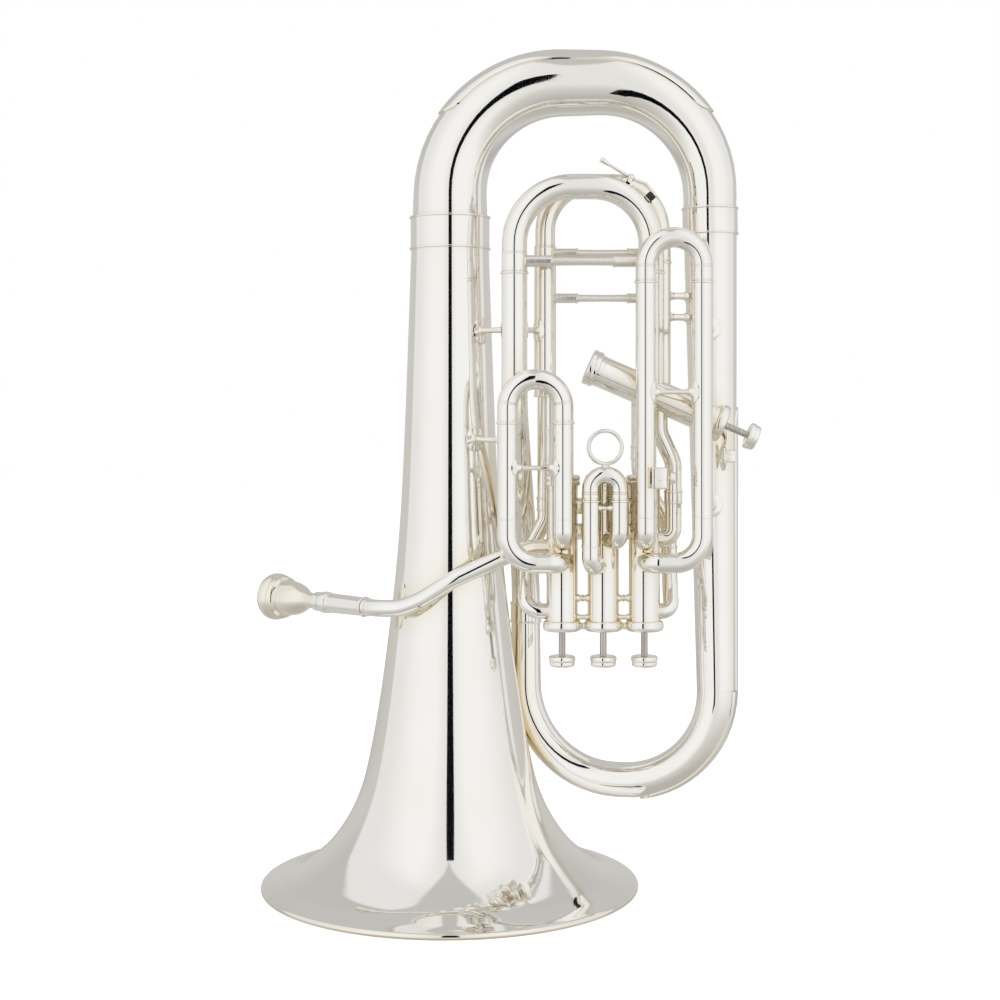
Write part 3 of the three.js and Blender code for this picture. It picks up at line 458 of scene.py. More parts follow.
# ---------- bell ----------
BELL_TOP = 528.6
BELL_OUTLINE = [
    (4.8, 149.8), (8, 137), (16, 120), (36, 96.5), (68, 76.5), (109, 64.6), (190, 51.6), (312, 39.5),
    (BELL_TOP, 31),
]
BOW_START, BOW_END = 30.6, 21.2  # outer radii of the large bow at the bell and at the right branch
BRANCH_END, LOWER_END = 15.8, 11.85  # outer radii where the right branch and the lower bow end


def spline(points, steps):
    """Uniform Catmull-Rom through the points, as the CAD's bell outline has it."""
    result = []
    last = len(points) - 1
    for i in range(steps + 1):
        place = last * i / steps
        k = min(int(place), last - 1)
        t = place - k
        p = [Vector(points[max(0, min(last, k + d))]) for d in (-1, 0, 1, 2)]
        v0, v1 = (p[2] - p[0]) * 0.5, (p[3] - p[1]) * 0.5
        a = (p[1] * 2 - p[2] * 2 + v0 + v1) * t**3
        b = (p[1] * -3 + p[2] * 3 - v0 * 2 - v1) * t**2
        result.append(a + b + v0 * t + p[1])
    return result


bell_curve = spline(BELL_OUTLINE, 72)


def bell_radius(z):
    for a, b in zip(bell_curve, bell_curve[1:]):
        if a.x <= z <= b.x:
            return a.y + (b.y - a.y) * (z - a.x) / (b.x - a.x)
    return bell_curve[-1].y


def bell():
    outer, inner = [], []
    for i, point in enumerate(bell_curve):
        along = (bell_curve[min(i + 1, len(bell_curve) - 1)] - bell_curve[max(i - 1, 0)]).normalized()
        outer.append((point.x, point.y))
        inner.append((max(point.x + along.y * WALL, 0.8), point.y - along.x * WALL))
    inner[-1] = (BELL_TOP, inner[-1][1])
    rim = [
        (0, 149.3), (0, 150.9), (0.35, 151.7), (1.1, 152.3), (2.2, 152.5), (3.3, 152.25), (4.2, 151.5),
        (4.75, 150.4),
    ]
    inner_edge = [(1.0, 147.8), (0.3, 148.6)]
    route = Route((0, 0, 0), (0, 0, BELL_TOP))
    return sweep(route, rim + outer + inner[::-1][:-1] + inner_edge, 128)


BEAD_WIDTH, BEAD_HEIGHT = 1.6, 0.35


def bead(start, crest, shoulder=0.08):
    """The profile of a rounded bead whose crest has the given radius."""
    foot = crest - BEAD_HEIGHT
    return [
        (start, foot), (start + 0.3, crest - shoulder), (start + 0.8, crest), (start + 1.3, crest - shoulder),
        (start + BEAD_WIDTH, foot),
    ]


def ferrule(route, low, high, radius, crest, inside, sides=56):
    """A sleeve with a bead at each end."""
    sleeve = [(low + BEAD_WIDTH + 0.1, radius), (high - BEAD_WIDTH - 0.1, radius)]
    outside = bead(low, crest) + sleeve + bead(high - BEAD_WIDTH, crest)
    return sweep(route, [(low, inside)] + outside + [(high, inside)], sides)


def collar(a, b, radius, crest, inside, sides=36):
    """A ferrule on a straight tube, from one place to another."""
    route = Route(tuple(a), tuple(b))
    return ferrule(route, 0, route.length, radius, crest, inside, sides)


bell_axis = Route((0, 0, 0), (0, 0, 700))
make("bell_silver", [bell()], nodes=["bell"])
make("bell_ferrule_silver", [ferrule(bell_axis, 515.6, 542.4, 32.0, 33.0, 30.5)], nodes=["bell_ferrule"])

# ---------- large bow, right branch, lower bow ----------
BRANCH_TOP, BRANCH_FOOT = Vector((210, -10, 548.6)), Vector((215.3, -10, 160))
top_route = Route((0, 0, BELL_TOP), (0, 0, 649.7, 90), (210, -10, 649.7, 90), (210, -10, 537.6))
branch_route = Route(tuple(BRANCH_TOP), tuple(BRANCH_FOOT))
lower_route = Route((215.3, -10, 160), (215.3, -10, 83, 76), (62, 32, 83, 76), (62, 32, 226))
spigot = top_route.length - 15


def tapered(route, *stations, sides=56):
    """A tube from (distance, outer radius) stations."""
    return sweep(route, [*stations, *((s, r - WALL) for s, r in reversed(stations))], sides)


make("large_bow_silver",
     [tapered(top_route, (0, BOW_START), (spigot, BOW_END), (top_route.length, BOW_END), sides=64)],
     nodes=["top_bow"])
length = branch_route.length
make("right_branch_silver",
     [tapered(branch_route, (20, BOW_END), (length, BRANCH_END)),
      ferrule(branch_route, 0, 21.8, 22.1, 22.9, BOW_END)],
     nodes=["right_branch"])
length = lower_route.length
make("lower_bow_silver",
     [tapered(lower_route, (0, BRANCH_END), (length - 10, LOWER_END)),
      ferrule(lower_route, length - 16.6, length, 12.5, 13.3, 11.8, 44)],
     nodes=["lower_bow"])


GUARD_EDGE = 0.05  # angle over which a guard strip's long edges are rolled down


def guard(route, radii, begin, finish, cover, taper_in, taper_out, lift=1.5):
    """A guard strip on a tube's outer side, with rounded ends where a taper length is given."""
    across = 18
    inside = [s for s in route.marks() if begin + 2 < s < finish - 2]
    span = [begin] + inside + [finish]
    for a, b in list(zip(span, span[1:])):
        extra = int((b - a) // 8)
        span += [a + (b - a) * (k + 1) / (extra + 1) for k in range(extra)]
    for end, taper, sign in ((begin, taper_in, 1), (finish, taper_out, -1)):
        span += [end + sign * taper * share for share in (0.02, 0.06, 0.13, 0.25, 0.42, 0.65, 1.0) if taper]
    span = sorted(set(round(s, 4) for s in span))
    vertices, rows = [], []
    for s in span:
        point, _, normal, side = route.at(s)
        radius = radii[0] + (radii[1] - radii[0]) * s / route.length
        share = 1.0
        for taper, away in ((taper_in, s - begin), (taper_out, finish - s)):
            if taper and away < taper:
                share = min(share, math.sqrt(max(0.0, 1 - (1 - away / taper) ** 2)))
        half = max(cover * share, 0.012)
        top, under = [], []
        for k in range(across + 1):
            place = 2 * k / across - 1
            away = normal * math.sin(place * half) - side * math.cos(place * half)
            inset = max(0.0, (abs(place) * half - half + GUARD_EDGE) / GUARD_EDGE)
            edge = 1 - inset**2 if half > 0.06 else 0.6
            top.append(point + away * (radius + lift * (0.45 + 0.55 * edge)))
            under.append(point + away * (radius - 0.3))
        rows.append(range(len(vertices), len(vertices) + 2 * len(top)))
        vertices += top + under[::-1]
    faces = join_rows(rows)
    for row, flip in ((rows[0], True), (rows[-1], False)):
        for k in range(across):
            face = (row[k], row[k + 1], row[-2 - k], row[-1 - k])
            faces.append(face[::-1] if flip else face)
    return vertices, faces


make("large_bow_guard_silver",
     [guard(top_route, (BOW_START, BOW_END), 84, top_route.length - 78, 0.80, 12, 12)],
     nodes=["top_bow_guard"])
make("right_branch_guard_silver",
     [guard(branch_route, (BOW_END, BRANCH_END), 161, branch_route.length, 0.55, 14, 0)],
     nodes=["right_branch_guard"])
make("lower_bow_guard_silver", [guard(lower_route, (BRANCH_END, 11.8), 0, 110, 0.80, 0, 16)],
     nodes=["lower_bow_guard"])

# ---------- slides ----------
SLIDE_Y = -68
main = SimpleNamespace(
    left=52, right=159.5, y=-45, top=561.5, bend=45, seam=510, collar=494.3, insert=62,
    crook=9.9, ferrule=10.1, leg=8.7, rim=11.2)
fourth = SimpleNamespace(
    left=76.8, right=168.5, y=-22, top=566.5, bend=38, seam=516.7, collar=504.3, insert=58,
    crook=7.9, ferrule=8.7, leg=7.3, rim=9.5)
first = SimpleNamespace(
    left=46.4, right=89.5, y=SLIDE_Y, top=409.4, bend=21.5, seam=391.9, collar=376.4, insert=52,
    crook=7.9, ferrule=8, leg=6.7, rim=9)
second = SimpleNamespace(
    left=110.9, right=133.3, y=SLIDE_Y, top=335.3, bend=11.1, seam=322, collar=316, insert=20,
    crook=6.8, ferrule=7, leg=5.7, rim=8)
third = SimpleNamespace(
    left=153.6, right=197.4, y=SLIDE_Y, top=519.4, bend=21.8, seam=498, collar=485.6, insert=60,
    crook=7.9, ferrule=8, leg=6.7, rim=9)
MAIN_BRACE_Z = 449  # one brace on each side of the tuning slide's left leg
FOURTH_BAR = (2.9, 3.8, 26)  # radius, end radius and socket reach of the fourth slide's crossbars
LIGHT_BAR = (2.0, 2.6, 12)  # the same for the first and third slides' sleeves


def slide_bow(d):
    """Inner leg, ferrule with a turned ring, crook, ferrule, inner leg, as one bent tube."""
    foot = d.collar + FIT - d.insert
    route = Route((d.left, d.y, foot), (d.left, d.y, d.top, d.bend),
                  (d.right, d.y, d.top, d.bend), (d.right, d.y, foot))
    end, shoulder = route.length, d.seam - foot
    leg, sleeve, crook, insert = d.leg, d.ferrule, d.crook, d.insert
    groove = 0.16
    half = [
        (0, leg - 0.3), (0.4, leg), (insert, leg), (insert + 0.1, sleeve + BEAD_HEIGHT),
        (insert + 1.0, sleeve + BEAD_HEIGHT), (insert + 1.4, sleeve), (shoulder - 1.9, sleeve),
        (shoulder - 1.6, sleeve - groove), (shoulder - 1.3, sleeve), (shoulder - 0.3, sleeve),
        (shoulder, crook - groove), (shoulder + 0.3, crook),
    ]
    outer = half + [(end - s, r) for s, r in reversed(half)]
    return sweep(route, outer + [(end, leg - WALL), (0, leg - WALL)])


def sleeve_tube(d, x, corners, end=None, seam=None):
    """An outer sleeve with a rolled collar, and a faint ring where its lower bend is soldered on."""
    route = Route((x, d.y, d.collar), *corners)
    r, bore, length, below = d.ferrule, d.leg + FIT, route.length, d.insert + 4
    seam_ring = [(0, r), (0.15, r + 0.3), (0.75, r + 0.4), (1.35, r + 0.3), (1.5, r)] if seam else []
    loop = [
        (0, bore + 0.1), *bead(0, d.rim, 0.05), (1.75, r), *((seam + s, radius) for s, radius in seam_ring),
        (length, r), (length, r - 0.6), (below + 1, r - 0.6), (below, bore),
    ]
    return sweep(route, loop, end=end)


def leg_fit(d, x):
    return Fit((x, d.y, 0), (0, 0, 1), d.ferrule - 0.4)


def crossbar(d, z, radius, end_radius, ends):
    """A cross rod whose turned sockets are cut to both legs."""
    a, b = Vector((d.left + d.leg, d.y, z)), Vector((d.right - d.leg, d.y, z))
    length = (b - a).length
    socket = ends - d.leg
    lip = end_radius + 0.35
    profile = [
        (0, end_radius), (socket - 1.2, end_radius), (socket - 0.9, lip), (socket, lip),
        (socket + 0.3, radius), (length / 2, radius * 0.92),
    ]
    profile += [(length - s, r) for s, r in reversed(profile[:-1])]
    return rod(a, b, profile, 32, leg_fit(d, d.left), leg_fit(d, d.right), 0.2)


class Pad:
    """A thin plate soldered to a round tube or to the bell, shaped to its surface, with a domed boss."""

    def __init__(self, axis_point, radius_at, towards, axis=(0, 0, 1)):
        self.base = Vector(axis_point)
        self.axis = Vector(axis).normalized()
        out = Vector(towards) - self.base
        self.out = (out - self.axis * out.dot(self.axis)).normalized()
        self.side = self.axis.cross(self.out)
        self.radius_at = radius_at

    def place(self, across, along, lift):
        radius = self.radius_at(self.base.z + along)
        angle = across / radius
        away = self.out * math.cos(angle) + self.side * math.sin(angle)
        return self.base + self.axis * along + away * (radius + lift)

    def plate(self, half_width, half_height, boss, point=1.0, thick=1.0):
        """point below 1 gives a lens-shaped plate with tips along the axis."""
        shells = [(0.0, -0.4), (1.0, -0.4), (1.0, thick * 0.6), (0.94, thick), (0.5, thick + 0.1)]
        near = boss / max(half_width, boss)
        shells += [(min(0.48, near + 0.12), thick + 0.5), (min(0.44, near), thick + 2.4), (0.0, thick + 2.4)]
        vertices, rows = [], []
        for share, lift in shells:
            turns = around(40) if share else [0]
            rows.append(range(len(vertices), len(vertices) + len(turns)))
            on_plate = share > 0.49  # nearer in, the shells belong to the round boss
            for turn in turns:
                c, s = math.cos(turn), math.sin(turn)
                u = half_width * share * math.copysign(abs(c) ** (1 / point if on_plate else 1), c)
                v = (half_height if on_plate else half_width) * share * s
                vertices.append(self.place(u, v, lift))
        return vertices, join_rows(rows)


def brace(start, start_radius, finish, radius_at, z, radius=2.4, pad=(8, 8), near_pad=None):
    """A level brace between two upright axes: a waisted rod with a plate at its far end.

    It has one at its near end too if that is asked for."""
    a, b = Vector((*start, z)), Vector((*finish, z))
    way = (b - a).normalized()
    p, q = a + way * (start_radius - 0.5), b - way * (radius_at(z) - 0.2)
    length = (q - p).length
    foot, neck = radius + 0.9, radius + 0.7
    profile = [(0, foot), (1.4, neck), (3.2, radius), (length / 2, radius * 0.9), (length - 4.2, radius),
               (length - 2.4, neck), (length, foot)]
    if length < 12:
        foot = radius + 0.6
        profile = [(0, foot), (length * 0.3, radius), (length * 0.7, radius), (length, foot)]
    parts = [rod(p, q, profile, start=Fit(a, (0, 0, 1), start_radius - 0.4))]
    parts.append(Pad(b, radius_at, a).plate(*pad, radius + 0.9))
    if near_pad:
        parts.append(Pad(a, lambda _: start_radius, b).plate(*near_pad, radius + 0.9, 1.0, 0.8))
    return parts


def branch_at(z):
    share = (BRANCH_TOP.z - z) / (BRANCH_TOP.z - BRANCH_FOOT.z)
    return BRANCH_TOP.lerp(BRANCH_FOOT, share), BOW_END + (BRANCH_END - BOW_END) * share


def brace_to_branch(d, z, radius=2.4, pad=(8, 8), near_pad=None):
    place, _ = branch_at(z)
    return brace((d.right, d.y), d.ferrule, place.xy, lambda h: branch_at(h)[1], z, radius, pad, near_pad)


VALVE_X = [89.5, 121.9, 154.3]
VALVE_Y, VALVE_FOOT, VALVE_LENGTH = -44, 211.5, 123
INNER_PORT, OUTER_PORT, SECOND_PORT = 284, 267, 264
RETURN_PORT = 227.2  # where the compensating tubes join the first and third valves


def knuckle(x, z, valve_x):
    """The last corner and the end, inside the casing's wall, of a tube that turns into a valve."""
    away = math.hypot(valve_x - x, VALVE_Y - SLIDE_Y)
    share = (away - CASING_RADIUS + SUNK) / away
    end = (x + (valve_x - x) * share, SLIDE_Y + (VALVE_Y - SLIDE_Y) * share, z)
    return [(x, SLIDE_Y, z, 8.6), end]


def casing_fit(i):
    return Fit((VALVE_X[i], VALVE_Y, 0), (0, 0, 1), CASING_RADIUS - SUNK)


def valve_sleeve(d, x, i, port, turn_x=None, seam=None):
    """A sleeve that turns into a valve, under its own leg or, where turn_x is given, after a level run."""
    corners = knuckle(x if turn_x is None else turn_x, port, VALVE_X[i])
    if turn_x is not None:
        corners.insert(0, (x, d.y, port, 22))
    return sleeve_tube(d, x, corners, casing_fit(i), seam)


# Places on the tuning slide's crook are given by angle and distance from its bend's centre.
bend_centre = Vector((main.right - main.bend, main.y, main.top - main.bend))
NIPPLE_ANGLE, PIVOT_ANGLE, KNEE_ANGLE = 39.9, 60.8, 49


def on_bend(degrees, distance):
    angle = math.radians(degrees)
    return bend_centre + Vector((math.cos(angle) * distance, 0, math.sin(angle) * distance))


nipple = rod(on_bend(NIPPLE_ANGLE, 52.6), on_bend(NIPPLE_ANGLE, 55.5),
             [(0, 4.4), (1.6, 4.2), (2.0, 3.0), (2.9, 2.7)])
make("main_tuning_slide_silver", [slide_bow(main), nipple], body="main_slide", nodes=["main_tuning_slide"])
make("main_slide_crossbar_satin", [crossbar(main, 502.9, 3.6, 4.6, 29.7)], SATIN, "main_slide")
make("fourth_slide_silver", [slide_bow(fourth)], body="fourth_valve_slide", nodes=["fourth_slide"])
make("fourth_slide_crossbar_satin", [crossbar(fourth, 511, *FOURTH_BAR)], SATIN, "fourth_valve_slide")
for i, (name, slide) in enumerate((("first", first), ("second", second), ("third", third))):
    make(name + "_slide_silver", [slide_bow(slide)], body=name + "_slide", nodes=[f"slide_{i + 1}"])

# The fourth valve lies at a slant: its axis runs from the spring's end towards the button.
SIDE_FOOT = Vector((109.9, main.y, 420.3))
SIDE_SLANT = math.radians(23.4)
SIDE_AXIS = Vector((math.cos(SIDE_SLANT), 0, -math.sin(SIDE_SLANT)))
SIDE_AXIS_ROUGH = (0.918, 0, -0.397)  # the same direction, rounded
side_fit = Fit(SIDE_FOOT, SIDE_AXIS, CASING_RADIUS - SUNK)
make("tuning_right_sleeve_silver",
     [sleeve_tube(main, main.right, [(main.right, main.y, 410)],
                  Fit(SIDE_FOOT, SIDE_AXIS_ROUGH, CASING_RADIUS - SUNK))],
     nodes=["tuning_right_sleeve"])

# Left branch: a sleeve at its upper end that leans back to the lower bow.
left_route = Route((main.left, main.y, main.collar), (main.left, main.y, 384, 60), (62, 32, 241.6, 60),
                   (62, 32, 214))
length = left_route.length
SLEEVE_END = 66
left_branch = [
    (0, 9.15), *bead(0, 11.15, 0.05), (1.75, 10.1), (SLEEVE_END, 10.1), (length, 11.8), (length, 10.8),
    (SLEEVE_END, 9.05),
]
make("left_branch_silver", [sweep(left_route, left_branch)], nodes=["left_branch"])

# Fourth slide's sleeves, with their crossbar and braces.
parts = [
    sleeve_tube(fourth, fourth.left, [(fourth.left, fourth.y, 399)]),
    sleeve_tube(fourth, fourth.right, [(fourth.right, fourth.y, 395, 9), (fourth.right, -33, 395)], side_fit),
    collar((fourth.left, fourth.y, 396), (fourth.left, fourth.y, 408), 8.75, 9.2, 6.3),
]
parts += brace((fourth.left, fourth.y), fourth.ferrule, (main.left, main.y), lambda _: main.ferrule,
               MAIN_BRACE_Z, pad=(7, 8), near_pad=(6.5, 9))
for z in (477, 460):
    parts += brace_to_branch(fourth, z, 2.9, (6, 6))
make("fourth_slide_sleeves_silver", parts, nodes=["fourth_slide_sleeves"])
make("fourth_sleeves_crossbar_satin", [crossbar(fourth, 475, *FOURTH_BAR)], SATIN)
return_route = Route((fourth.left, fourth.y, 399.8), (fourth.left, fourth.y, 298, 14), (60.6, -26, 268, 14),
                     (60.6, VALVE_Y, RETURN_PORT, 12), (78, VALVE_Y, RETURN_PORT))
RETURN_RADIUS = 6.2
RETURN_RING = (6.6, 7.1, 6.1)  # radius, crest and bore of its joint rings
make("fourth_return_tube_silver",
     [pipe(return_route, RETURN_RADIUS, end=casing_fit(0)),
      collar((fourth.left, fourth.y, 305), (fourth.left, fourth.y, 316), *RETURN_RING, 32)],
     nodes=["fourth_return_tube"])


# Valve slides' sleeves.
def leg_pads(d, z, half_height):
    """The two saddle plates under a crossbar's ends."""
    a, b = (d.left, d.y, z), (d.right, d.y, z)
    return [Pad(leg, lambda _: d.ferrule, other).plate(9.5, half_height, 2.6, 1.0, 0.7)
            for leg, other in ((a, b), (b, a))]


FIRST_BAR_Z, THIRD_BAR_Z = 340.8, 399.6
parts = [
    valve_sleeve(first, first.left, 0, OUTER_PORT, turn_x=86, seam=74),
    valve_sleeve(first, first.right, 0, INNER_PORT, seam=74),
    crossbar(first, FIRST_BAR_Z, *LIGHT_BAR),
    *leg_pads(first, FIRST_BAR_Z, 8),
    *brace((first.left, first.y), first.ferrule, (0, 0), bell_radius, 362.4, pad=(8.5, 10), near_pad=(6, 7)),
]
make("slide_1_sleeves_silver", parts, nodes=["slide_1_sleeves"])
SHORT_BAR_Z = 309.7
parts = [
    valve_sleeve(second, second.left, 1, SECOND_PORT, seam=35),
    valve_sleeve(second, second.right, 1, INNER_PORT),
    rod((117, second.y, SHORT_BAR_Z), (127, second.y, SHORT_BAR_Z),
        [(0, 3.2), (1, 2.8), (3, 1.6), (7, 1.6), (9, 2.8), (10, 3.2)], 24,
        leg_fit(second, second.left), leg_fit(second, second.right)),
]
make("slide_2_sleeves_silver", parts, nodes=["slide_2_sleeves"])
parts = [
    valve_sleeve(third, third.left, 2, INNER_PORT, seam=182),
    valve_sleeve(third, third.right, 2, OUTER_PORT, turn_x=157.8, seam=182),
    crossbar(third, THIRD_BAR_Z, *LIGHT_BAR),
    *leg_pads(third, THIRD_BAR_Z, 10),
]
for z in (450, 309.6):
    parts += brace_to_branch(third, z, pad=(9.6, 9.6), near_pad=(6, 7))
make("slide_3_sleeves_silver", parts, nodes=["slide_3_sleeves"])

ring_low, ring_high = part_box("slide_2_pull_ring")
ring_centre = (((ring_low + ring_high) / 2) - ORIGIN) / MM
make("pull_ring_silver",
     [ring(ring_centre, (0, 1, 0), 12.8, 1.5),
      rod(ring_centre - Vector((0, 0, 15.6)), ring_centre - Vector((0, 0, 13.0)),
          [(0, 3.4), (0.8, 3.0), (2.6, 1.5)])],
     body="second_slide", nodes=["slide_2_pull_ring"])

# ---------- water key ----------
PIVOT = 59.45  # distance of the hinge pin from the bend's centre
saddle_out = (on_bend(PIVOT_ANGLE, PIVOT) - bend_centre).normalized()
saddle_along = Vector((saddle_out.z, 0, -saddle_out.x))


def keyed(x, y, out):
    """A point by its distance along the crook, across it, and out from the bend's centre."""
    return bend_centre + saddle_along * x + Vector((0, y, 0)) + saddle_out * out


def moved_block(low, high, edge):
    vertices, faces = block(low, high, edge)
    return [keyed(*v) for v in vertices], faces


parts = []
for side in (-1, 1):
    y0, y1 = sorted((side * 3.5, side * 4.4))
    parts.append(moved_block((-2.1, y0, 52.6), (2.1, y1, 61.5), 0.4))
    parts.append(rod(keyed(0, side * 4.3, PIVOT), keyed(0, side * 5.0, PIVOT), [(0, 1.3), (0.7, 0.9)], 16))
parts.append(moved_block((-3.4, -4.4, 52.2), (3.4, 4.4, 55.6), 0.5))
parts.append(rod(keyed(0, -4.4, PIVOT), keyed(0, 4.4, PIVOT), 0.9, 16))
make("water_key_saddle_silver", parts, body="main_slide", nodes=["water_key_saddle"])

lever_start = keyed(1.7, 0, PIVOT)
cup_foot = on_bend(NIPPLE_ANGLE, 60.5)
cork_axis = (cup_foot - bend_centre).normalized()
knee = on_bend(KNEE_ANGLE, 62.6)
parts = [
    sweep(Route(tuple(keyed(0, -3.1, PIVOT)), tuple(keyed(0, 3.1, PIVOT))),
          [(0, 2.1), (6.2, 2.1), (6.2, 1.15), (0, 1.15)], 24),
    rod(keyed(-1.7, 0, PIVOT), keyed(-25, 0, 60.5),
        [(0, 1.5), (8, 1.25), (18, 1.2), (22, 1.9), (25.2, 2.2), (26.4, 1.2)], 20),
    rod(lever_start, knee, [(0, 1.5), (4, 1.35), ((knee - lever_start).length, 1.3)], 20),
    rod(knee - (cup_foot - knee).normalized() * 0.8, cup_foot + cork_axis * 1.2, 1.3, 20),
    rod(cup_foot, cup_foot + cork_axis * 2.0, [(0, 3.9), (1.1, 3.9), (1.8, 3.0), (2.0, 2.2)]),
]
make("water_key_lever_silver", parts, body="water_key", nodes=["water_key_lever"])
cork = rod(on_bend(NIPPLE_ANGLE, 55.8), on_bend(NIPPLE_ANGLE, 60.4), [(0, 3.3), (2.2, 3.45), (4.6, 3.35)])
make("water_key_cork_black_piece", [cork], CORK, "water_key", ["water_key_cork"])


KEY_WIRE = 0.35
parts = [
    coil(keyed(0, -3.0, PIVOT), keyed(0, 3.0, PIVOT), 2.55, KEY_WIRE, 5),
    rod(keyed(-2.3, -2.9, PIVOT), keyed(-6.5, -1.2, 54.9), KEY_WIRE, 8),
]
make("water_key_spring_wire", parts, STEEL, "main_slide")

# ---------- valves ----------
STEM_LENGTH = 19
CAP_HEIGHT = 8.4
SPRING_RADIUS, SPRING_WIRE, SPRING_TURNS = 8, 0.8, 5


def valve(name, place, axis, end, body, links=()):
    """Casing, caps, stem, button and spring of one valve, along an axis that starts at the button's end."""
    place, axis = Vector(place), Vector(axis).normalized()

    def line(low, high):
        return Route(tuple(place + axis * low), tuple(place + axis * high))

    outer, bore = CASING_RADIUS, 10.95
    casing = [
        (0, bore), (0, outer + 0.2), (8.0, outer + 0.2), (8.3, outer), (end - 15.2, outer),
        (end - 14.9, outer + 0.25), (end - 6.8, outer + 0.25), (end - 6.8, bore),
    ]
    make(name + "_casing_silver", [sweep(line(3.4, end - 3.4), rounded(casing, 0.25), 56), *links],
         nodes=[name + "_casing"])
    fit = outer + 0.45
    top = [
        (CAP_HEIGHT, fit), (CAP_HEIGHT, 13.6), (8.2, 14.2), (7.7, 14.6), (6.8, 14.95), (5.6, 15.15),
        (4.2, 15.2), (2.8, 15.1), (1.7, 14.7), (0.8, 14.0), (0.25, 12.9), (0.05, 11.4), (0.2, 8.0),
        (0.2, 5.4), (-0.4, 4.9), (-0.6, 4.1), (-0.5, 3.15), (3.0, 3.15), (3.0, fit),
    ]
    make(name + "_top_cap_silver", [sweep(line(0, CAP_HEIGHT), rounded(top[::-1], 0.3), 64)],
         nodes=[name + "_top_cap"])
    bottom = [
        (CAP_HEIGHT, fit), (CAP_HEIGHT, 13.7), (7.7, 14.2), (5.2, 14.25), (4.6, 13.7), (4.0, 13.7),
        (3.4, 14.3), (1.1, 14.2), (0.3, 13.5), (0, 12.2), (0.6, 11.2), (0.8, 5.2), (0.1, 3.4), (0.1, 1.9),
        (1.0, 1.5), (3.0, 1.5), (3.0, fit),
    ]
    bottom = [(end - s, r) for s, r in bottom]
    make(name + "_bottom_cap_silver", [sweep(line(0, end), rounded(bottom, 0.3), 64)],
         nodes=[name + "_bottom_cap"])
    stem = [
        (-STEM_LENGTH, 0), (-STEM_LENGTH, 2.7), (0.6, 2.7), (1.2, 2.5), (3.7, 2.5), (3.7, 8.2), (4.2, 8.6),
        (5.6, 8.6), (5.9, 10.2), (6.4, 10.5), (85.2, 10.5), (85.7, 10.0), (85.7, 0),
    ]
    stem = rounded([(s + STEM_LENGTH, r) for s, r in stem], 0.2, False)
    make(name + "_stem_steel", [sweep(line(-STEM_LENGTH, 85.7), stem, 48, False)], STEEL, body,
         [name + "_piston"])
    cup = [
        (0, 0), (0, 9.2), (0.3, 10.0), (1.0, 10.5), (2.4, 10.6), (3.6, 10.5), (4.1, 10.1), (4.5, 9.95),
        (6.6, 9.9), (7.7, 9.6), (8.2, 9.1), (8.1, 8.8), (7.6, 8.8), (7.6, 0),
    ]
    button_line = line(-STEM_LENGTH - FIT, -28.75)
    make(name + "_button_cup_silver", [sweep(button_line, rounded(cup, 0.25, False), 56, False)], body=body,
         nodes=[name + "_button"])
    inlay = [(7.7, 0), (7.7, 8.7), (8.2, 8.7), (8.7, 7.8), (9.15, 5.2), (9.35, 2.6), (9.4, 0)]
    make(name + "_button_pearl_inlay", [sweep(button_line, rounded(inlay, 0.15, False), 48, False)], PEARL,
         body)
    first_turn, last_turn = 86.4, end - 3.6
    wire = coil(place + axis * first_turn, place + axis * last_turn, SPRING_RADIUS, SPRING_WIRE, SPRING_TURNS,
                10, 28)
    spring = make(name + "_spring_wire", [wire], STEEL, nodes=[name + "_spring"])
    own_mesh(spring)


# Between neighbouring casings: height, profile and sides of each link.
LINKS = (
    (290, 6.5, 28),
    (310, 6.5, 28),
    (237.5, [(0, 3.6), (1.8, 3.2), (3.0, 2.3), (4.2, 2.3), (4.8, 3.1), (5.2, 3.1), (5.8, 2.3), (7.0, 2.3),
             (8.2, 3.2), (10, 3.6)], 28),
    (222.5, [(0, 3.4), (3, 2.0), (7, 2.0), (10, 3.4)], 24),
)
links = []
for side in (-1, 1):
    near, far, web = (VALVE_X[1] + side * away for away in (11, 21, 16.2))
    for height, profile, sides in LINKS:
        links.append(rod((near, VALVE_Y, height), (far, VALVE_Y, height), profile, sides, casing_fit(1),
                         casing_fit(1 + side)))
    links.append(block((web - 2.4, VALVE_Y - 2.5, 212.8), (web + 2.4, VALVE_Y + 2.5, 218.2), 1.6))
for i, x in enumerate(VALVE_X):
    valve(f"valve_{i + 1}", (x, VALVE_Y, VALVE_FOOT), (0, 0, 1), VALVE_LENGTH, f"valve_{i + 1}_moving",
          links if i == 1 else ())
SIDE_LENGTH = 117
valve("valve_4", SIDE_FOOT + SIDE_AXIS * SIDE_LENGTH, -SIDE_AXIS, SIDE_LENGTH, "valve_4_moving")

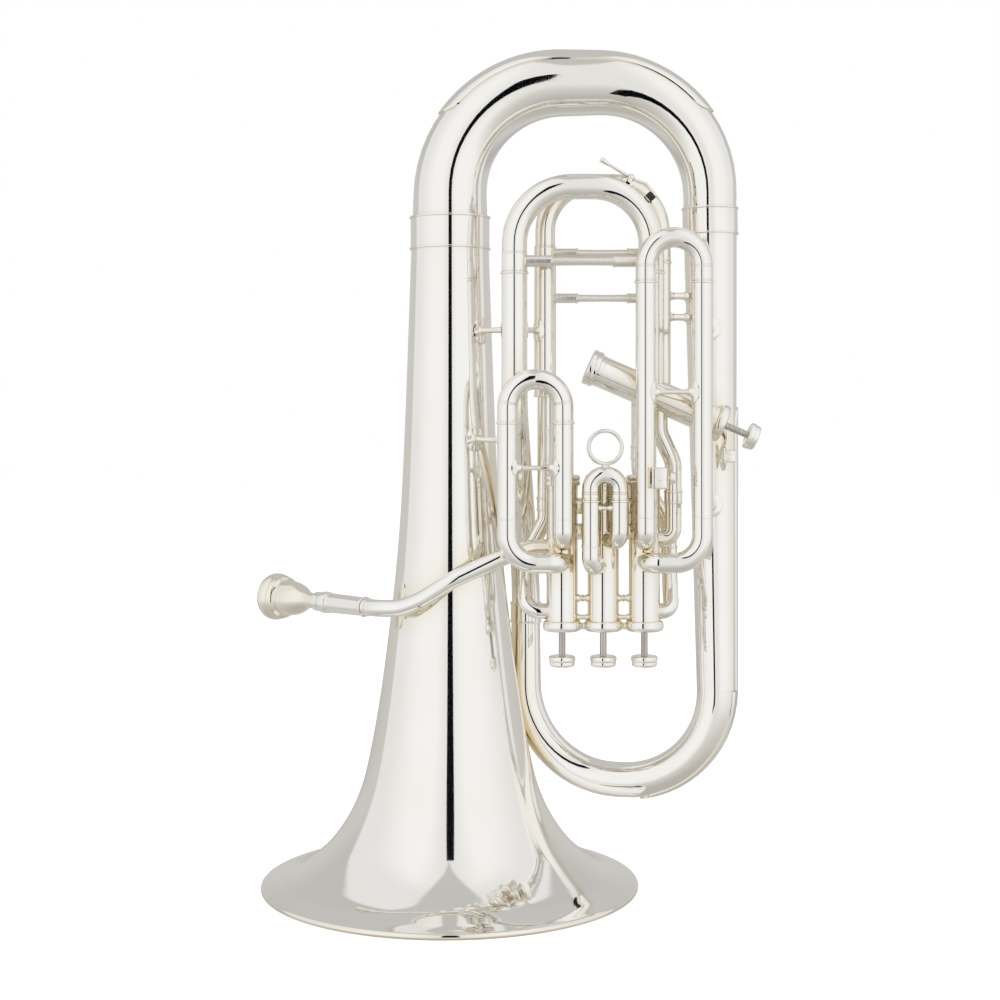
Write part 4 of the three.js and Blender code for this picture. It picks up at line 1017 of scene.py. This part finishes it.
# ---------- tubes behind and between the valves ----------
link_x, link_y = 177, VALVE_Y
link_route = Route((165.8, link_y, INNER_PORT), (link_x, link_y, INNER_PORT, 9), (link_x, link_y, 345, 20),
                   (166, main.y, 368, 20), (166, main.y, 388))
make("valve_3_to_4_tube_silver",
     [pipe(link_route, 6.6, start=casing_fit(2), end=side_fit),
      collar((link_x, link_y, 312), (link_x, link_y, 322), 7.0, 7.5, 6.5)],
     nodes=["valve_3_to_4_tube"])
low_x, low_y, high_x, high_y = 175.6, -24, 152, -20
return_route = Route((165.8, VALVE_Y, RETURN_PORT), (low_x, VALVE_Y, RETURN_PORT, 8), (low_x, low_y, 262, 20),
                     (low_x, low_y, 292, 20), (high_x, high_y, 335, 25), (high_x, high_y, 397, 10),
                     (high_x, -34, 397))
make("compensating_return_silver",
     [pipe(return_route, RETURN_RADIUS, start=casing_fit(2), end=side_fit),
      collar((low_x, low_y, 266), (low_x, low_y, 277), *RETURN_RING),
      collar((high_x, high_y, 346), (high_x, high_y, 357), *RETURN_RING)],
     nodes=["compensating_return_tube"])
for i, (high, low, back) in enumerate(((300, 262, 8), (296, 268, -2), (272, 240, 8))):
    x = VALVE_X[i]
    ends = VALVE_Y + CASING_RADIUS - SUNK
    route = Route((x, ends, high), (x, back, high, 12), (x, back, low, 12), (x, ends, low))
    parts = [pipe(route, 5, start=casing_fit(i), end=casing_fit(i))]
    for z in (high, low):
        parts.append(collar((x, back - 24, z), (x, back - 16, z), 5.4, 5.8, 4.9, 32))
    make(f"compensating_loop_{i + 1}_silver", parts, nodes=[f"compensating_loop_{i + 1}"])

# ---------- leadpipe, receiver, mouthpiece ----------
MOUTH_FOOT = Vector((-66, -31, 229))
MOUTH_AXIS = Vector((-0.72, 0.694, 0)).normalized()


def on_mouth(distance):
    return tuple(MOUTH_FOOT + MOUTH_AXIS * distance)


lead_route = Route((77.6, -44, 277), (66, -44, 277, 20), (44.5, -51, 271, 40), (3.9, -54.5, 253, 40),
                   (-21.4, -51.5, 236.5, 40), (-38, -46.5, 229.5, 40), (*on_mouth(-14), 30), on_mouth(-0.1))
# A brace stands between the bell and the leadpipe's outer end.
brace_foot = Vector((0, 0, 230))
brace_way = Vector((-55.5, -40.9, 0)).normalized()
brace_rod = rod(brace_foot + brace_way * (bell_radius(brace_foot.z) + 0.5), brace_foot + brace_way * 63.0,
                [(0, 3.6), (1.5, 3.0), (8, 2.8), (13.5, 3.6)])
make("leadpipe_silver",
     [pipe(lead_route, [(0, 6.8), (1, 6.7)], start=casing_fit(0)),
      Pad(brace_foot, bell_radius, brace_foot + brace_way).plate(4.2, 18.5, 3.4, 0.8, 1.2),
      brace_rod,
      collar(on_mouth(-4), on_mouth(0), 6.8, 7.2, 6.1)],
     nodes=["leadpipe"])
receiver = [
    (0.35, 6.3), (0.35, 7.7), (0.8, 8.1), (1.8, 8.2), (2.8, 8.0), (3.2, 7.45), (39.5, 7.85), (39.9, 7.6),
    (40.5, 7.6), (40.9, 7.9), (42.1, 7.9), (42.5, 7.65), (43.1, 7.65), (43.5, 8.2), (45.2, 8.6), (48.5, 8.75),
    (51.2, 8.55), (52.6, 8.1), (53, 7.85), (59.3, 7.8), (60, 7.4), (60, 6.9), (34, 6.9), (33.5, 5.2),
    (0.35, 5.2),
]
make("mouthpiece_receiver_silver", [sweep(Route(on_mouth(0), on_mouth(60)), rounded(receiver, 0.2), 52)],
     nodes=["mouthpiece_receiver"])
mouthpiece = [
    (0, 5.4), (0.3, 5.6), (15, 5.95), (30, 6.3), (34, 6.7), (37, 7.6), (40, 9.2), (45, 11.7), (51, 13.5),
    (57, 14.3), (60.5, 14.5), (62.2, 14.2), (63.2, 14.4), (64.2, 15.4), (65.4, 16.8), (67.4, 17.7),
    (69.0, 17.9), (69.8, 17.7), (70.8, 18.3), (73.0, 19.1), (75.4, 19.4), (78.0, 19.2), (79.4, 18.3),
    (80, 16.6), (79.6, 14.8), (78.4, 13.4), (75, 12.5), (66, 11.4), (57, 8.9), (49, 5.6), (44, 3.6),
    (40, 3.2), (30, 3.6), (0, 4.5),
]
mouthpiece = [tuple(point) for point in spline(mouthpiece + mouthpiece[:1], 240)[:-1]]
make("mouthpiece_silver", [sweep(Route(on_mouth(36), on_mouth(116)), mouthpiece, 80)], WARM_SILVER,
     "mouthpiece_body", ["mouthpiece"])

# ---------- braces and fittings ----------
make("bell_brace_silver",
     brace((main.left, main.y), main.ferrule, (0, 0), bell_radius, MAIN_BRACE_Z, pad=(8, 11),
           near_pad=(7, 8)),
     nodes=["bell_brace"])
LYRE_Z = 333.5
lyre = [
    block((157, -85, 325), (168.5, -76.6, 341.5), 1.3),
    block((162.2, -78, 327), (164.7, third.y, 339.5), 0.5),
    rod((163, -85.5, LYRE_Z), (163, -84.5, LYRE_Z), [(0, 2.2), (1.0, 2.6)]),
]
make("lyre_box_silver", lyre, nodes=["lyre_box"])
screw = [(0, 2), (1.6, 2), (1.8, 3.6), (2.4, 4.5), (3.2, 4.8), (5.2, 4.7), (6.2, 3.9), (6.6, 2.4)]
make("lyre_screw_silver", [rod((168.9, -80.7, LYRE_Z), (175.5, -80.7, LYRE_Z), screw, 32)],
     body="lyre_thumb_screw", nodes=["lyre_screw"])
thumb = [
    ring((216.5, -43, 348), (1, 0, 0), 9, 1.6),
    block((214.2, -36, 344), (227.5, -27.8, 354), 1.0),
    rod((216.5, -38, 349), (216.5, -33, 349), [(0, 1.6), (2, 2.4), (5, 3.2)]),
    rod((220.8, -36.6, 349), (220.8, -35.6, 349), [(0, 2.6), (1, 3.0)]),
]
make("thumb_ring_silver", thumb, nodes=["thumb_ring"])

# ---------- studio ----------
scene = bpy.context.scene
scene.view_settings.view_transform = "Standard"


def stage_plane(name, material_name, colour, roughness, corners):
    """A flat matt sheet of the studio. Returns it and its shader."""
    mesh = bpy.data.meshes.new(name)
    mesh.from_pydata(corners, [], [(0, 1, 2, 3)])
    piece = bpy.data.objects.new(name, mesh)
    scene.collection.objects.link(piece)
    material, tree, shader = new_material(material_name)
    fill(tree, shader, {"Base Color": (*colour, 1), "Roughness": roughness, "Specular IOR Level": 0.0})
    mesh.materials.append(material)
    return piece, shader


def floor():
    r = 6.0
    corners = [(-r, -r, 0), (r, -r, 0), (r, r, 0), (-r, r, 0)]
    piece, shader = stage_plane("studio_floor", "studio_floor_white", (0.9, 0.9, 0.9), 0.9, corners)
    shader.inputs["Emission Color"].default_value = (1, 1, 1, 1)
    shader.inputs["Emission Strength"].default_value = 0.4
    piece.visible_glossy = False


def dark_card():
    """The narrow dark gap between the two light banks: seen only in reflections."""
    x0, x1, y, z0, z1 = (-0.0745, 0.0325, -0.65, 0.0, 0.95)
    corners = [(x0, y, z0), (x1, y, z0), (x1, y, z1), (x0, y, z1)]
    piece, _ = stage_plane("dark_gap_card", "dark_gap_black", (0.004, 0.004, 0.006), 1.0, corners)
    piece.visible_camera = False
    piece.visible_diffuse = False
    piece.visible_shadow = False


def studio_world():
    """A bright wrap of light banks in front, a duller ceiling and floor, and grey walls behind."""
    world = bpy.data.worlds.new("studio")
    scene.world = world
    world.use_nodes = True
    tree = world.node_tree
    tree.nodes.clear()

    def calculate(operation, *values):
        result = add_node(tree, "Math", {})
        result.node.operation = operation
        fill(tree, result.node, dict(enumerate(values)))
        return result

    def plus(a, b):
        return calculate("ADD", a, b)

    def minus(a, b):
        return calculate("SUBTRACT", a, b)

    def times(a, b):
        return calculate("MULTIPLY", a, b)

    def step(value, low, high):
        result = spread(tree, value, 0.0, 1.0, low, high)
        result.node.interpolation_type = "SMOOTHSTEP"
        return result

    def blend(factor, first, last):
        first, last = ((*value, 1) if isinstance(value, tuple) else value for value in (first, last))
        return mix_colours(tree, factor, first, last)

    coords = add_node(tree, "TexCoord", {}, "Generated")
    x, y, z = add_node(tree, "SeparateXYZ", {0: coords}).node.outputs
    level = calculate("SQRT", plus(times(x, x), times(y, y)))
    facing = calculate("DIVIDE", times(y, -1), calculate("MAXIMUM", level, 0.001))
    side = calculate("ABSOLUTE", x)
    # The banks reach further round the sides and overhead than they do low down.
    reach = plus(times(side, 0.404), times(z, 0.31))
    front = step(minus(reach, y), -0.05, 0.04)
    walls = blend(step(z, -0.30, 0.02), (0.43, 0.42, 0.40), (0.60, 0.585, 0.56))
    walls = blend(step(z, 0.10, 0.45), walls, (0.53, 0.525, 0.51))
    banks = blend(step(facing, -0.2, 0.75), (0.80, 0.795, 0.785), (0.925, 0.92, 0.91))
    banks = blend(step(times(side, front), 0.02, 0.40), (0.80, 0.795, 0.78), banks)
    room = blend(front, walls, banks)
    # Between the banks the ceiling shows, wider towards the back.
    opening = plus(plus(times(y, 0.29), times(z, 0.145)), 0.036)
    gap = times(step(minus(opening, side), -0.015, 0.03), step(z, 0.3, 0.5))
    ceiling = blend(gap, room, (0.55, 0.545, 0.53))
    low = blend(step(z, -0.95, -0.55), (0.48, 0.465, 0.43), (0.61, 0.595, 0.565))
    below = blend(step(z, -0.62, -0.12), low, ceiling)
    studio = add_node(tree, "Background", {"Color": below})
    white = add_node(tree, "Background", {"Color": (1, 1, 1, 1)})
    camera_ray = add_node(tree, "LightPath", {}, "Is Camera Ray")
    surface = add_node(tree, "MixShader", {0: camera_ray, 1: studio, 2: white})
    tree.links.new(surface, tree.nodes.new("ShaderNodeOutputWorld").inputs["Surface"])


def soft_light(name, place, target=(0, 0, 0.3), size=1.6, power=14):
    light = bpy.data.lights.new(name, "AREA")
    light.shape = "RECTANGLE"
    light.size = light.size_y = size
    light.energy = power
    lamp = bpy.data.objects.new(name, light)
    lamp.location = place
    lamp.rotation_euler = (Vector(target) - Vector(place)).to_track_quat("-Z", "Y").to_euler()
    lamp.visible_glossy = False
    scene.collection.objects.link(lamp)


floor()
dark_card()
studio_world()
soft_light("soft_top_left", (-1.2, -1.0, 2.0))
soft_light("soft_top_right", (1.3, -1.0, 2.0))

camera_data = bpy.data.cameras.new("camera")
camera_data.sensor_width = 36
camera_data.lens = 63.468
camera = bpy.data.objects.new("camera", camera_data)
camera.location = Vector((40.6, -1433, 388)) * MM + ORIGIN
camera.rotation_euler = (math.radians(90), 0, 0)
camera_data.shift_y = -0.093  # level view with its horizon a little above the frame's middle
scene.collection.objects.link(camera)
scene.camera = camera

bpy.context.view_layer.update()
